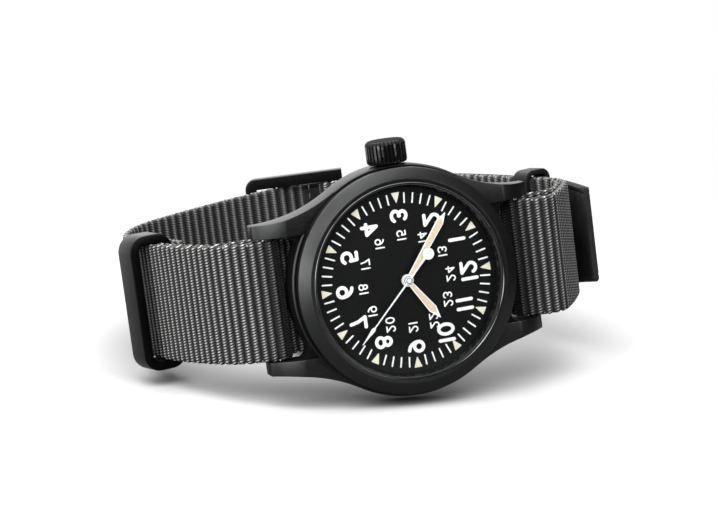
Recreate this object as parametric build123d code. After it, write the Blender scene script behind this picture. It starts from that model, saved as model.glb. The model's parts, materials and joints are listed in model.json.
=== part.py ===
from build123d import *
from math import atan2, cos, degrees, hypot, radians, sin, sqrt, tan
import os

# A three-hand field watch on a closed pass-through strap, resting on its flank.
# Each piece is drawn on the bench: X to the numeral 12, Y to the crown, Z out of the dial,
# with Z zero on the dial's face. The last section lays the watch down as it rests.
# All lengths are in millimetres.

# How the watch lies: dial tipped back, head rolled towards the 6 side, strap slightly lifted
lean_deg = 7.75
roll_deg = -5.9
strap_lift_deg = 1.7

# Fits shared by all pieces
running_gap = 0.05
seat_gap = 0.02
soft_gap = 0.15
overrun = 2.0

# The case is built round the movement: balance, plate, holder, neck, bezel, flank
balance_distance = 8.2
balance_r = 4.15
plate_margin = 0.45
movement_r = balance_distance + balance_r + plate_margin
holder_wall = 2.75
cavity_r = movement_r + holder_wall
dial_step = 0.25
bezel_bore_r = cavity_r + dial_step
neck_wall = 1.2
neck_r = bezel_bore_r + neck_wall
bezel_wall = 1.4
bezel_r = neck_r + bezel_wall
bezel_step = 0.55
case_r = bezel_r + bezel_step

# Mid-case and lugs
case_front_z = -0.35
case_back_z = -5.5
case_bevel = 0.25
lug_reach = 4.55
lug_span = 2 * (case_r + lug_reach)
lug_gap = 20.0
lug_wall = 2.3
lug_blend_r = 26.0
lug_tip_top_z = -4.4
lug_tip_back_z = -6.9
lug_foot = 3.45
lug_back_start_x = case_r - lug_foot
lug_crest_bulge = 0.45
lug_tip_bevel = 0.5
neck_top_z = 0.7
cavity_back_z = -3.95
back_bore_step = 0.75
back_bore_r = cavity_r + back_bore_step

# Bezel, crystal and the ring under the crystal
bezel_wall_top_z = 1.2
bezel_slope = 1.9
bezel_crest_r = bezel_r - bezel_slope
bezel_crest_z = 2.3
bezel_lip_z = 2.0
bezel_edge = 0.15
crystal_t = 1.1
crystal_edge_z = 2.5
crystal_rise = 0.6
gasket_t = 0.25
rehaut_foot = 0.7
rehaut_foot_r = bezel_bore_r - rehaut_foot
rehaut_top_r = bezel_bore_r - rehaut_foot / 2

# Dial
dial_r = cavity_r - running_gap
dial_t = 0.4
dial_hole_r = 0.95
dial_foot_r = 0.35
dial_foot_length = 0.8
dial_foot_pitch_r = 11.6
dial_foot_angles = (40.0, 220.0)

# Hands, angles from the 12 towards the 3
hour_angle = 304.3
hour_length = 8.3
hour_shoulder = 6.4
hour_width = 1.4
hour_waist = 0.8
hour_z = 0.42
minute_angle = 52.5
minute_length = 12.5
minute_shoulder = 10.8
minute_width = 1.25
minute_waist = 0.9
minute_z = 0.8
second_angle = 224.7
second_length = 12.8
second_width = 0.28
second_arrow_length = 2.6
second_arrow_width = 0.8
second_tip_length = 1.1
second_tail = 5.4
second_disc_r = 0.95
second_z = 1.15
hand_t = 0.2
hand_rim = 0.2
hub_r = 1.15
minute_hub_r = 1.0
second_hub_r = 0.75

# Movement: plates and bridges
plate_back_z = -1.9
bridge_front_z = -3.1
movement_back_z = -3.75
motion_pocket_z = -1.2
train_pocket_z = -1.7
jewel_t = 0.25
pivot_r = 0.12
pivot_length = 0.4
arbor_r = 0.25
pocket_gap = 0.35
pocket_depth = 0.4
screw_bearings = (40.0, 210.0, 250.0, 310.0)
screw_r = 0.28
screw_head_r = 0.42
screw_head_t = 0.2
screw_length = 1.9
foot_wall = 0.9
bridge_gap = 0.2
barrel_bridge_span = (70.0, 218.0)
cock_span = (256.0, 302.0)
cock_inner_r = 6.0
centre_land_r = 1.3
sector_step = 30.0

# Wheels: tooth counts, and the distances between their arbors
centre_teeth = 64
third_leaves = 8
third_teeth = 60
fourth_leaves = 8
fourth_teeth = 84
escape_leaves = 7
escape_teeth = 15
barrel_teeth = 84
centre_leaves = 12
cannon_leaves = 12
minute_teeth = 36
minute_leaves = 10
hour_teeth = 40
crown_wheel_teeth = 24
ratchet_teeth = 40
third_distance = 3.9
escape_distance = 2.96
barrel_distance = 6.6
motion_distance = 2.88
crown_wheel_y = 7.6
third_bearing = 20.0
escape_bearing = 280.0
barrel_bearing = 160.0
motion_bearing = 60.0
balance_bearing = 279.0
wheel_t = 0.15
tooth_tip_share = 0.95
tooth_root_share = 1.3
tooth_foot_share = 0.34
hub_share = 0.24
arm_share = 0.16
rim_share = 0.84
drum_wall = 0.35
drum_floor = 0.18
barrel_arbor_r = 0.6
spring_core_r = 1.8
crown_post_r = 0.5
escape_r = 1.85
pallet_share = 0.45
pallet_arm = 0.3
pallet_reach = 1.25
roller_r = 0.55
balance_rim = 0.55
hairspring_r = 2.1
hairspring_turns = 6
hairspring_wire = 0.06

# Heights of the wheels
hour_wheel_z = -0.78
minute_wheel_z = -1.08
centre_wheel_z = -1.62
barrel_teeth_z = -2.45
barrel_teeth_t = 0.35
barrel_front_z = -1.95
barrel_back_z = -2.9
escape_wheel_z = -2.45
third_wheel_z = -2.82
fourth_wheel_z = -3.06
balance_z = -2.84
ratchet_z = -4.0
ratchet_t = 0.2

# Nested arbors at the centre
second_arbor_r = 0.15
centre_tube_r = 0.4
cannon_tube_r = 0.62
hour_tube_r = 0.85

# Crown, stem and tube
crown_z = -2.0
crown_r = 3.3
crown_gap = 0.25
crown_foot_y = case_r + crown_gap
crown_length = 3.8
crown_dome = 0.45
crown_flutes = 30
crown_flute_r = 0.26
crown_recess_r = 1.85
crown_recess_depth = 1.6
tube_r = 1.1
tube_bore_r = 0.65
tube_stand = 1.45
stem_r = 0.45
stem_end_y = 7.4
stem_thread_length = 2.6
crown_gasket_t = 0.6
crown_pull = 0.9
winding_r = 1.45
winding_y = 9.7
winding_length = 1.2
winding_leaves = 16

# Case back
back_outer_z = -6.2
back_inner_z = -4.6
back_margin = 1.55
back_flange_r = case_r - back_margin
back_bevel = 0.35
back_notches = 6
back_notch_width = 3.0
back_notch_depth = 1.0
back_gasket_inset = 0.65
back_gasket_r = back_flange_r - back_gasket_inset
back_gasket_width = 0.6
back_gasket_depth = 0.3

# Spring bars
bar_stand = 2.4
bar_x = case_r + bar_stand
bar_z = -4.9
bar_r = 0.75
bar_tip_r = 0.38
bar_tip_length = 1.5
bar_collar = 0.5
bar_gap = 0.36
bar_neck_r = 0.5

# Strap: a long woven band, a short one under the case and a leather tail
lug_side_gap = 0.25
strap_width = lug_gap - 2 * lug_side_gap
strap_t = 1.2
short_t = 1.0
leather_t = 1.6
loop_stand = 15.15
loop_half_width = bar_x + loop_stand
loop_depth = 70.0
right_rise_deg = 35.0
left_drop_deg = 5.0
corner_run_share = 0.48
under_r = 1.5
under_margin = 2.65
under_half_width = bar_x + under_margin
tail_end_inset = 1.35
tail_end_width = strap_width - 2 * tail_end_inset
tail_taper_length = 11.0
tail_holes = 5
tail_hole_r = 0.9
tail_hole_pitch = 5.5
tail_first_hole = 14.0

# The band's route beside and behind the wrist, as shares of half the loop's width and its depth
right_shares = ((0.705, -0.07), (0.835, 0.035), (0.95, 0.15), (0.965, 0.24), (0.88, 0.33), (0.8, 0.5),
                (0.67, 0.68), (0.47, 0.83))
left_shares = ((-0.707, -0.014), (-0.827, 0.049), (-0.959, 0.173), (-1.047, 0.33), (-1.041, 0.501),
               (-0.904, 0.666), (-0.616, 0.787), (-0.329, 0.891), (-0.08, 0.955), (0.07, 0.975))
tail_over_share = (0.214, 0.985)
tail_tip_share = (1.042, 0.1386)

# Hardware on the strap
heel_x = 7.6
heel_z = -69.5
heel_bar_r = 0.7
ring_length = 4.5
ring_wall = 1.3
ring_side_gap = 0.55
ring_opening_width = strap_width + 2 * ring_side_gap
ring_corner_r = 1.2
ring_run = 70.3
ring_slack = 2.0
hook_gap = 0.3
keeper_slack = 0.4
keeper_length = 3.6
keeper_wall = 1.0
keeper_side_gap = 0.3
keeper_opening_width = strap_width + 2 * keeper_side_gap
keeper_corner_r = 0.8
keeper_fixed_run = 12.0
keeper_loose_run = 50.0
buckle_tilt_deg = 16.0
buckle_side_gap = 0.25
buckle_rail = 1.9
buckle_width = strap_width + 2 * (buckle_side_gap + buckle_rail)
buckle_reach = 14.0
buckle_t = 1.6
buckle_corner_r = 2.2
tongue_width = 1.5
tongue_t = 1.1
tongue_collar_r = 1.35
tongue_lap = 1.2
tongue_slit_height = 10.0


def turned(points):
    """A ring or cup turned about the dial's axis, from radius and height points."""
    outline = make_face(Plane.XZ * Polyline(*points, close=True))
    return revolve(outline, axis=Axis.Z)


def disc(radius, low_z, high_z, place=(0, 0)):
    """A round plate between two heights, standing at a place on the dial's plane."""
    height = high_z - low_z
    return Pos(place[0], place[1], low_z + height / 2) * Cylinder(radius, height)


def across_rod(radius, low_y, high_y, x, z):
    """A rod that runs along the crown's direction."""
    length = high_y - low_y
    return Pos(x, low_y + length / 2, z) * Rot(X=90) * Cylinder(radius, length)


def polar(distance, bearing):
    """A point on the dial's plane, by its distance from the centre and its bearing."""
    return (distance * cos(radians(bearing)), distance * sin(radians(bearing)))


def toothed_plate(teeth, pitch_r, low_z, high_z, place=(0, 0), bearing=0.0, gap_first=False):
    """A toothed wheel or pinion with pointed teeth, one tooth or one gap on the bearing."""
    module = 2 * pitch_r / teeth
    tip_r = pitch_r + module * tooth_tip_share
    root_r = pitch_r - module * tooth_root_share
    step = 360.0 / teeth
    start = bearing + (step / 2 if gap_first else 0.0)
    points = []
    for index in range(teeth):
        middle = start + index * step
        for radius, share in ((root_r, -tooth_foot_share), (tip_r, 0.0), (root_r, tooth_foot_share)):
            points.append(polar(radius, middle + share * step))
    outline = make_face(Polyline(*points, close=True))
    return Pos(place[0], place[1], low_z) * extrude(outline, high_z - low_z)


# Places of the arbors on the dial's plane
third_place = polar(third_distance, third_bearing)
escape_place = polar(escape_distance, escape_bearing)
barrel_place = polar(barrel_distance, barrel_bearing)
motion_place = polar(motion_distance, motion_bearing)
balance_place = polar(balance_distance, balance_bearing)
pallet_place = polar(escape_distance + pallet_share * (balance_distance - escape_distance), balance_bearing)
crown_wheel_place = (0, crown_wheel_y)
ratchet_distance = hypot(barrel_place[0], barrel_place[1] - crown_wheel_y)


def pitch_radii(distance, first_teeth, second_teeth):
    """Pitch radii of two meshing wheels whose arbors stand at a distance."""
    total = first_teeth + second_teeth
    return distance * first_teeth / total, distance * second_teeth / total


centre_pitch_r, third_pinion_r = pitch_radii(third_distance, centre_teeth, third_leaves)
third_pitch_r, fourth_pinion_r = pitch_radii(third_distance, third_teeth, fourth_leaves)
fourth_pitch_r, escape_pinion_r = pitch_radii(escape_distance, fourth_teeth, escape_leaves)
barrel_pitch_r, centre_pinion_r = pitch_radii(barrel_distance, barrel_teeth, centre_leaves)
cannon_pitch_r, minute_pitch_r = pitch_radii(motion_distance, cannon_leaves, minute_teeth)
minute_pinion_r, hour_pitch_r = pitch_radii(motion_distance, minute_leaves, hour_teeth)
ratchet_pitch_r, crown_wheel_pitch_r = pitch_radii(ratchet_distance, ratchet_teeth, crown_wheel_teeth)
barrel_tip_r = barrel_pitch_r * (1 + 2 * tooth_tip_share / barrel_teeth)
barrel_drum_r = barrel_pitch_r * (1 - 2 * tooth_root_share / barrel_teeth)


# Case, bezel and crystal

def case_outline():
    """Round case with four lugs, each blended to the flank by one hollow arc."""
    lug_y = lug_gap / 2 + lug_wall
    blend_y = lug_y + lug_blend_r
    blend_x = sqrt((case_r + lug_blend_r) ** 2 - blend_y ** 2)
    tangent_y = blend_y * case_r / (case_r + lug_blend_r)
    lugs = Rectangle(lug_span, 2 * tangent_y)
    for x_side in (-1, 1):
        for y_side in (-1, 1):
            lugs -= Pos(x_side * blend_x, y_side * blend_y) * Circle(lug_blend_r)
    lugs -= Rectangle(lug_span + overrun, lug_gap)
    return lugs + Circle(case_r)


def lug_profile():
    """Side view of the case: the lugs curve down past the case back."""
    tip_x = lug_span / 2
    crest_x = (bezel_r + tip_x) / 2 + lug_crest_bulge
    crest_z = (case_front_z + lug_tip_top_z) / 2 + lug_crest_bulge
    right = [
        Line((0, case_front_z), (bezel_r, case_front_z)),
        ThreePointArc((bezel_r, case_front_z), (crest_x, crest_z), (tip_x, lug_tip_top_z)),
        Line((tip_x, lug_tip_top_z), (tip_x, lug_tip_back_z + lug_tip_bevel)),
        Line((tip_x, lug_tip_back_z + lug_tip_bevel), (tip_x - lug_tip_bevel, lug_tip_back_z)),
        Line((tip_x - lug_tip_bevel, lug_tip_back_z), (lug_back_start_x, case_back_z)),
        Line((lug_back_start_x, case_back_z), (0, case_back_z)),
    ]
    left = [mirror(line, about=Plane.YZ) for line in (Plane.XZ * Wire(right)).edges()]
    return make_face((Plane.XZ * Wire(right)).edges() + left)


def mid_case():
    """Steel middle of the case with its lugs, bored for the movement, crown tube and spring bars."""
    depth = case_front_z - lug_tip_back_z + overrun
    plan = Pos(0, 0, case_front_z - depth) * extrude(case_outline(), depth)
    body = plan & extrude(lug_profile(), lug_span / 2, both=True)
    body += disc(neck_r, case_front_z, neck_top_z)
    body -= disc(bezel_bore_r, 0, neck_top_z + overrun)
    body -= disc(cavity_r, cavity_back_z, overrun)
    body -= disc(back_bore_r, lug_tip_back_z, cavity_back_z)
    body -= disc(back_flange_r + running_gap, lug_tip_back_z, case_back_z)
    gasket_outer_r = back_gasket_r + back_gasket_width / 2
    gasket_inner_r = back_gasket_r - back_gasket_width / 2
    groove = disc(gasket_outer_r, case_back_z - overrun, case_back_z + back_gasket_depth)
    body -= groove - disc(gasket_inner_r, case_back_z - overrun, case_back_z + back_gasket_depth)
    body -= across_rod(tube_r + seat_gap, 0, case_r + overrun, 0, crown_z)
    hole_end = lug_gap / 2 + bar_tip_length
    for side in (-1, 1):
        body -= across_rod(bar_tip_r + running_gap, -hole_end, hole_end, side * bar_x, bar_z)
    return body


def bezel():
    """Brushed sloping bezel with a polished inner lip, pressed over the case neck."""
    return turned([
        (neck_r + seat_gap, case_front_z + seat_gap),
        (bezel_r - bezel_edge, case_front_z + seat_gap),
        (bezel_r, case_front_z + bezel_edge),
        (bezel_r, bezel_wall_top_z - bezel_edge),
        (bezel_r - bezel_edge, bezel_wall_top_z),
        (bezel_crest_r, bezel_crest_z),
        (bezel_bore_r, bezel_lip_z),
        (bezel_bore_r, neck_top_z + seat_gap),
        (neck_r + seat_gap, neck_top_z + seat_gap),
    ])


def crystal():
    """Domed sapphire crystal of even thickness."""
    edge_r = bezel_bore_r - gasket_t
    low_z = crystal_edge_z - crystal_t
    section = make_face([
        Line((0, low_z + crystal_rise), (0, crystal_edge_z + crystal_rise)),
        RadiusArc((0, crystal_edge_z + crystal_rise), (edge_r, crystal_edge_z), dome_r(edge_r)),
        Line((edge_r, crystal_edge_z), (edge_r, low_z)),
        RadiusArc((edge_r, low_z), (0, low_z + crystal_rise), -dome_r(edge_r)),
    ])
    return revolve(Plane.XZ * section, axis=Axis.Z)


def dome_r(edge_r):
    """Radius of the crystal's dome, from its edge and its rise."""
    return (edge_r ** 2 + crystal_rise ** 2) / (2 * crystal_rise)


def crystal_gasket():
    """Nylon ring that holds the crystal in the bezel."""
    low_z = crystal_edge_z - crystal_t
    edge_r = bezel_bore_r - gasket_t
    return disc(bezel_bore_r, low_z, bezel_lip_z) - disc(edge_r, low_z, bezel_lip_z)


def rehaut_ring():
    """Glossy sloping ring between the dial and the crystal."""
    top_z = crystal_edge_z - crystal_t
    return turned([
        (rehaut_foot_r, 0),
        (bezel_bore_r - running_gap, 0),
        (bezel_bore_r - running_gap, top_z),
        (rehaut_top_r, top_z),
    ])


def dial():
    """Dial plate with two feet for the movement."""
    plate = disc(dial_r, -dial_t, 0) - disc(dial_hole_r, -dial_t, 0)
    for bearing in dial_foot_angles:
        foot = disc(dial_foot_r, -dial_t - dial_foot_length, -dial_t, polar(dial_foot_pitch_r, bearing))
        plate += foot
    return plate


# Hands

def hand_plate(angle, low_z, hub_radius, hole_radius, outline, window=None):
    """A flat hand cut from sheet: an outline along its length, a hub and a lume window."""
    blade = make_face(Polyline(*outline, *[(x, -y) for x, y in reversed(outline)], close=True))
    blade += Circle(hub_radius)
    if window:
        blade -= make_face(Polyline(*window, *[(x, -y) for x, y in reversed(window)], close=True))
    blade -= Circle(hole_radius)
    return Rot(Z=angle) * Pos(0, 0, low_z) * extrude(blade, hand_t)


def baton(length, shoulder, width, waist, hub):
    """Outline of a hand that widens to its shoulder and then runs to a point."""
    return [(0, waist / 2), (hub, waist / 2), (shoulder, width / 2), (length, hand_rim / 4)]


def baton_window(length, shoulder, width, waist, hub):
    """Window for the lume inside a baton, one rim smaller than its outline."""
    start = hub + hand_rim
    slope = (width - waist) / 2 / (shoulder - hub)
    half_start = waist / 2 - hand_rim + slope * hand_rim
    point = shoulder + (length - shoulder) * (1 - 2 * hand_rim / width) - hand_rim
    return [(start, half_start), (shoulder, width / 2 - hand_rim), (point, 0.1 * hand_rim)]


def hour_hand():
    """Hour hand, pressed on the hour wheel's tube."""
    sizes = (hour_length, hour_shoulder, hour_width, hour_waist, hub_r)
    return hand_plate(hour_angle, hour_z, hub_r, hour_tube_r, baton(*sizes), baton_window(*sizes))


def minute_hand():
    """Minute hand, pressed on the cannon pinion."""
    sizes = (minute_length, minute_shoulder, minute_width, minute_waist, minute_hub_r)
    window = baton_window(*sizes)
    return hand_plate(minute_angle, minute_z, minute_hub_r, cannon_tube_r, baton(*sizes), window)


def seconds_hand():
    """Centre seconds hand with a lume arrow near its tip and a round counterweight."""
    arrow_end = second_length - second_tip_length
    arrow_start = arrow_end - second_arrow_length
    outline = [
        (0, second_width / 2),
        (arrow_start, second_width / 2),
        (arrow_start + second_arrow_length / 4, second_arrow_width / 2),
        (arrow_end, second_width / 2),
        (second_length, second_width / 4),
    ]
    blade = make_face(Polyline(*outline, *[(x, -y) for x, y in reversed(outline)], close=True))
    blade += Pos(-second_tail / 2, 0) * Rectangle(second_tail, second_width)
    blade += Pos(-second_tail, 0) * Circle(second_disc_r)
    blade += Circle(second_hub_r)
    blade -= Circle(second_arbor_r)
    return Rot(Z=second_angle) * Pos(0, 0, second_z) * extrude(blade, hand_t)


# Movement

def arbor(low_z, high_z, place):
    """A wheel's arbor with a thinner pivot at each end."""
    body = disc(arbor_r, low_z, high_z, place)
    body += disc(pivot_r, low_z - pivot_length, low_z, place)
    return body + disc(pivot_r, high_z, high_z + pivot_length, place)


def spoked(plate, rim_r, place, low_z, high_z):
    """Four windows sawn in a wheel, which leave its rim, hub and crossings."""
    hub = rim_r * hub_share
    arm = rim_r * arm_share
    window = Circle(rim_r) - Circle(hub) - Rectangle(2 * rim_r, arm) - Rectangle(arm, 2 * rim_r)
    return plate - Pos(place[0], place[1], low_z) * extrude(window, high_z - low_z)


def train_wheel(teeth, pitch_r, wheel_z, place, bearing):
    """A brass wheel with teeth and crossings, one tooth on the bearing of its pinion."""
    plate = toothed_plate(teeth, pitch_r, wheel_z, wheel_z + wheel_t, place, bearing)
    return spoked(plate, pitch_r * rim_share, place, wheel_z, wheel_z + wheel_t)


def jewel_places():
    """Places of the arbors that turn between the plate and the bridges."""
    return [third_place, escape_place, pallet_place, balance_place]


def main_plate():
    """Main plate, recessed for the motion work, the centre wheel and the winding pinion."""
    front_z = -dial_t
    plate = disc(movement_r, plate_back_z, front_z)
    plate -= disc(hour_pitch_r + pocket_gap, motion_pocket_z, front_z)
    plate -= disc(minute_pitch_r + pocket_gap, motion_pocket_z, front_z, motion_place)
    plate -= disc(centre_pitch_r + pocket_gap, plate_back_z, train_pocket_z + pocket_depth)
    plate -= disc(third_pinion_r + pocket_gap, plate_back_z, train_pocket_z + pocket_depth, third_place)
    plate -= disc(cannon_tube_r + running_gap, train_pocket_z, motion_pocket_z)
    plate -= disc(pivot_r + running_gap, motion_pocket_z - pivot_length, motion_pocket_z, motion_place)
    for place in [barrel_place] + jewel_places():
        plate -= disc(pivot_r + running_gap, plate_back_z, front_z - jewel_t, place)
    for bearing in dial_foot_angles:
        hole_end = front_z - dial_foot_length - running_gap
        plate -= disc(dial_foot_r + seat_gap, hole_end, front_z, polar(dial_foot_pitch_r, bearing))
    for bearing in screw_bearings:
        place = polar(screw_pitch_r, bearing)
        plate -= disc(screw_r + seat_gap, plate_back_z - overrun, front_z - jewel_t, place)
    stem_bore_r = stem_r + 2 * running_gap
    plate -= across_rod(stem_bore_r, stem_end_y - running_gap, movement_r + overrun, 0, crown_z)
    return plate - winding_slot()


screw_pitch_r = movement_r - foot_wall / 2


def winding_slot():
    """Room for the winding pinion, at rest and with the crown pulled."""
    radius = winding_r + 2 * running_gap
    end_y = winding_y + winding_length + crown_pull + running_gap
    return across_rod(radius, winding_y - running_gap, end_y, 0, crown_z)


def sector(start_bearing, end_bearing, inner_r):
    """A wedge of the bridges' layer, from an inner radius outwards."""
    steps = int((end_bearing - start_bearing) / sector_step) + 1
    step = (end_bearing - start_bearing) / steps
    reach = movement_r / cos(radians(step / 2)) + overrun
    outer = [polar(reach, start_bearing + index * step) for index in range(steps + 1)]
    height = plate_back_z - movement_back_z
    wedge = Pos(0, 0, movement_back_z) * extrude(make_face(Polyline((0, 0), *outer, close=True)), height)
    return wedge - disc(inner_r, movement_back_z, plate_back_z) if inner_r else wedge


def bridge(wedge, clear_discs):
    """A bridge that fills a wedge, with a foot wall at the movement's rim."""
    layer = disc(movement_r, movement_back_z, plate_back_z)
    layer -= disc(movement_r - foot_wall, bridge_front_z, plate_back_z)
    for radius, place in clear_discs:
        layer -= disc(radius, bridge_front_z, plate_back_z, place)
    body = layer & wedge
    for bearing in screw_bearings:
        body -= disc(screw_r + seat_gap, movement_back_z, plate_back_z, polar(screw_pitch_r, bearing))
    stem_hole_r = stem_r + 2 * running_gap
    body -= across_rod(stem_hole_r, movement_r - foot_wall - overrun, movement_r + overrun, 0, crown_z)
    return body - winding_slot()


def bored(body, places, radius):
    """Holes through a bridge at the arbors that it carries."""
    for place in places:
        body -= disc(radius, movement_back_z - overrun, bridge_front_z, place)
    return body


def barrel_bridge():
    """Bridge over the mainspring barrel and the winding wheels."""
    wedge = sector(*barrel_bridge_span, centre_land_r)
    body = bridge(wedge, [(barrel_tip_r + bridge_gap, barrel_place)])
    body = bored(body, [barrel_place], barrel_arbor_r + running_gap)
    return bored(body, [crown_wheel_place], crown_post_r + running_gap)


def train_bridge():
    """Bridge over the train wheels, from the centre to the rim."""
    gap_deg = degrees(bridge_gap / (movement_r / 2))
    wedge = sector(barrel_bridge_span[1] + gap_deg, barrel_bridge_span[0] + 360 - gap_deg, 0)
    wedge += disc(centre_land_r - bridge_gap, movement_back_z, bridge_front_z)
    wedge -= sector(cock_span[0] - gap_deg, cock_span[1] + gap_deg, cock_inner_r - bridge_gap)
    clear_discs = [(barrel_tip_r + bridge_gap, barrel_place), (balance_r + bridge_gap, balance_place)]
    places = [(0, 0), third_place, escape_place, pallet_place]
    return bored(bridge(wedge, clear_discs), places, pivot_r + running_gap)


def balance_cock():
    """Cock that carries the balance's upper pivot."""
    body = bridge(sector(*cock_span, cock_inner_r), [(balance_r + bridge_gap, balance_place)])
    return bored(body, [balance_place], pivot_r + running_gap)


def bridge_screws():
    """Screws that hold the bridges to the main plate."""
    screws = []
    for bearing in screw_bearings:
        place = polar(screw_pitch_r, bearing)
        shank = disc(screw_r, movement_back_z - seat_gap, movement_back_z + screw_length, place)
        head_low = movement_back_z - seat_gap - screw_head_t
        head = disc(screw_head_r, head_low, movement_back_z - seat_gap, place)
        slot = Pos(place[0], place[1], head_low) * Box(2 * screw_head_r, screw_r / 2, screw_head_t)
        screws.append(head - slot + shank)
    return Compound(children=screws)


def barrel_drum():
    """Toothed drum that holds the mainspring."""
    teeth = toothed_plate(barrel_teeth, barrel_pitch_r, barrel_teeth_z, barrel_teeth_z + barrel_teeth_t,
                          barrel_place, barrel_bearing + 180)
    drum = disc(barrel_drum_r, barrel_back_z, barrel_front_z, barrel_place) + teeth
    inner_r = barrel_drum_r - drum_wall
    drum -= disc(inner_r, barrel_back_z + drum_floor, barrel_front_z - drum_floor, barrel_place)
    return drum - disc(barrel_arbor_r + running_gap, barrel_back_z, barrel_front_z, barrel_place)


def mainspring():
    """Coiled mainspring, drawn as the wound pack that it fills in the drum."""
    low_z = barrel_back_z + drum_floor + running_gap
    high_z = barrel_front_z - drum_floor - running_gap
    outer = disc(barrel_drum_r - drum_wall - running_gap, low_z, high_z, barrel_place)
    return outer - disc(spring_core_r, low_z, high_z, barrel_place)


def ratchet_wheel():
    """Ratchet wheel on the square of the barrel arbor."""
    low_z = ratchet_z
    towards_crown = degrees(atan2(crown_wheel_y - barrel_place[1], -barrel_place[0]))
    high_z = low_z + ratchet_t
    return toothed_plate(ratchet_teeth, ratchet_pitch_r, low_z, high_z, barrel_place, towards_crown)


def barrel_arbor():
    """Arbor that the mainspring winds on, from the main plate to the ratchet wheel."""
    high_z = plate_back_z - running_gap / 2
    body = disc(barrel_arbor_r, ratchet_z + ratchet_t, high_z, barrel_place)
    return body + disc(pivot_r, high_z, high_z + pivot_length, barrel_place)


def crown_wheel():
    """Crown wheel between the winding pinion and the ratchet wheel."""
    towards_barrel = degrees(atan2(barrel_place[1] - crown_wheel_y, barrel_place[0]))
    plate = toothed_plate(crown_wheel_teeth, crown_wheel_pitch_r, ratchet_z, ratchet_z + ratchet_t,
                          crown_wheel_place, towards_barrel, gap_first=True)
    return plate + disc(crown_post_r, ratchet_z + ratchet_t, bridge_front_z, crown_wheel_place)


def centre_wheel():
    """Centre wheel with its pinion and the long tube that carries the cannon pinion."""
    wheel = train_wheel(centre_teeth, centre_pitch_r, centre_wheel_z, (0, 0), third_bearing)
    pinion = toothed_plate(centre_leaves, centre_pinion_r, barrel_teeth_z, barrel_teeth_z + barrel_teeth_t,
                           (0, 0), barrel_bearing, gap_first=True)
    tube = disc(centre_tube_r, barrel_teeth_z, minute_z + hand_t)
    return wheel + pinion + tube - disc(second_arbor_r + running_gap, barrel_teeth_z, minute_z + hand_t)


def third_wheel():
    """Third wheel and pinion."""
    pinion_high = centre_wheel_z + 2 * wheel_t
    pinion = toothed_plate(third_leaves, third_pinion_r, centre_wheel_z - wheel_t, pinion_high,
                           third_place, third_bearing + 180, gap_first=True)
    wheel = train_wheel(third_teeth, third_pitch_r, third_wheel_z, third_place, third_bearing + 180)
    high_z = train_pocket_z + pocket_depth - running_gap
    return wheel + pinion + arbor(bridge_front_z + running_gap, high_z, third_place)


def fourth_wheel():
    """Fourth wheel, whose long arbor carries the seconds hand through the centre."""
    pinion = toothed_plate(fourth_leaves, fourth_pinion_r, third_wheel_z - wheel_t / 2,
                           third_wheel_z + 2 * wheel_t, (0, 0), third_bearing, gap_first=True)
    wheel = train_wheel(fourth_teeth, fourth_pitch_r, fourth_wheel_z, (0, 0), escape_bearing)
    rod = disc(second_arbor_r, fourth_wheel_z - running_gap / 2, second_z + hand_t)
    lower = disc(pivot_r, fourth_wheel_z - pivot_length, fourth_wheel_z)
    return wheel + pinion + rod + lower


def escape_wheel():
    """Escape wheel with hooked teeth, and its pinion."""
    step = 360.0 / escape_teeth
    points = []
    for index in range(escape_teeth):
        bearing = index * step + escape_bearing + step / 4
        points += [polar(escape_r * rim_share, bearing), polar(escape_r, bearing + step / 2),
                   polar(escape_r * rim_share, bearing + step / 2 + step / 8)]
    blank = make_face(Polyline(*points, close=True))
    wheel = Pos(escape_place[0], escape_place[1], escape_wheel_z) * extrude(blank, wheel_t)
    wheel = spoked(wheel, escape_r * rim_share ** 2, escape_place, escape_wheel_z, escape_wheel_z + wheel_t)
    low_z = fourth_wheel_z - running_gap / 2
    high_z = fourth_wheel_z + wheel_t + running_gap
    pinion = toothed_plate(escape_leaves, escape_pinion_r, low_z, high_z, escape_place,
                           escape_bearing + 180, gap_first=True)
    return wheel + pinion + thin_arbor(low_z, plate_back_z - running_gap, escape_place)


def thin_arbor(low_z, high_z, place):
    """A pinion's arbor, one pivot thick all along."""
    return disc(pivot_r, low_z - pivot_length, high_z + pivot_length, place)


def pallet_fork():
    """Pallet fork: two arms with stones beside the escape wheel, and a lever to the balance."""
    low_z = escape_wheel_z
    along = Rot(Z=balance_bearing)
    here = Pos(pallet_place[0], pallet_place[1], low_z) * along
    lever_length = (balance_distance - escape_distance) * (1 - pallet_share) - roller_r - 2 * running_gap
    lever = Pos(lever_length / 2, 0) * Rectangle(lever_length, pallet_arm)
    arms = Rectangle(pallet_arm, 2 * pallet_reach)
    stones = Pos(-pallet_arm / 2, pallet_reach) * Rectangle(2 * pallet_arm, pallet_arm)
    stones += Pos(-pallet_arm / 2, -pallet_reach) * Rectangle(2 * pallet_arm, pallet_arm)
    body = here * extrude(lever + arms + stones, wheel_t)
    return body + thin_arbor(bridge_front_z + running_gap, plate_back_z - running_gap, pallet_place)


def balance_wheel():
    """Balance wheel with its staff and roller."""
    rim = disc(balance_r, balance_z, balance_z + 2 * wheel_t, balance_place)
    rim = spoked(rim, balance_r - balance_rim, balance_place, balance_z, balance_z + 2 * wheel_t)
    roller = disc(roller_r, escape_wheel_z, escape_wheel_z + wheel_t, balance_place)
    return rim + roller + arbor(bridge_front_z + running_gap, plate_back_z - running_gap, balance_place)


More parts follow.
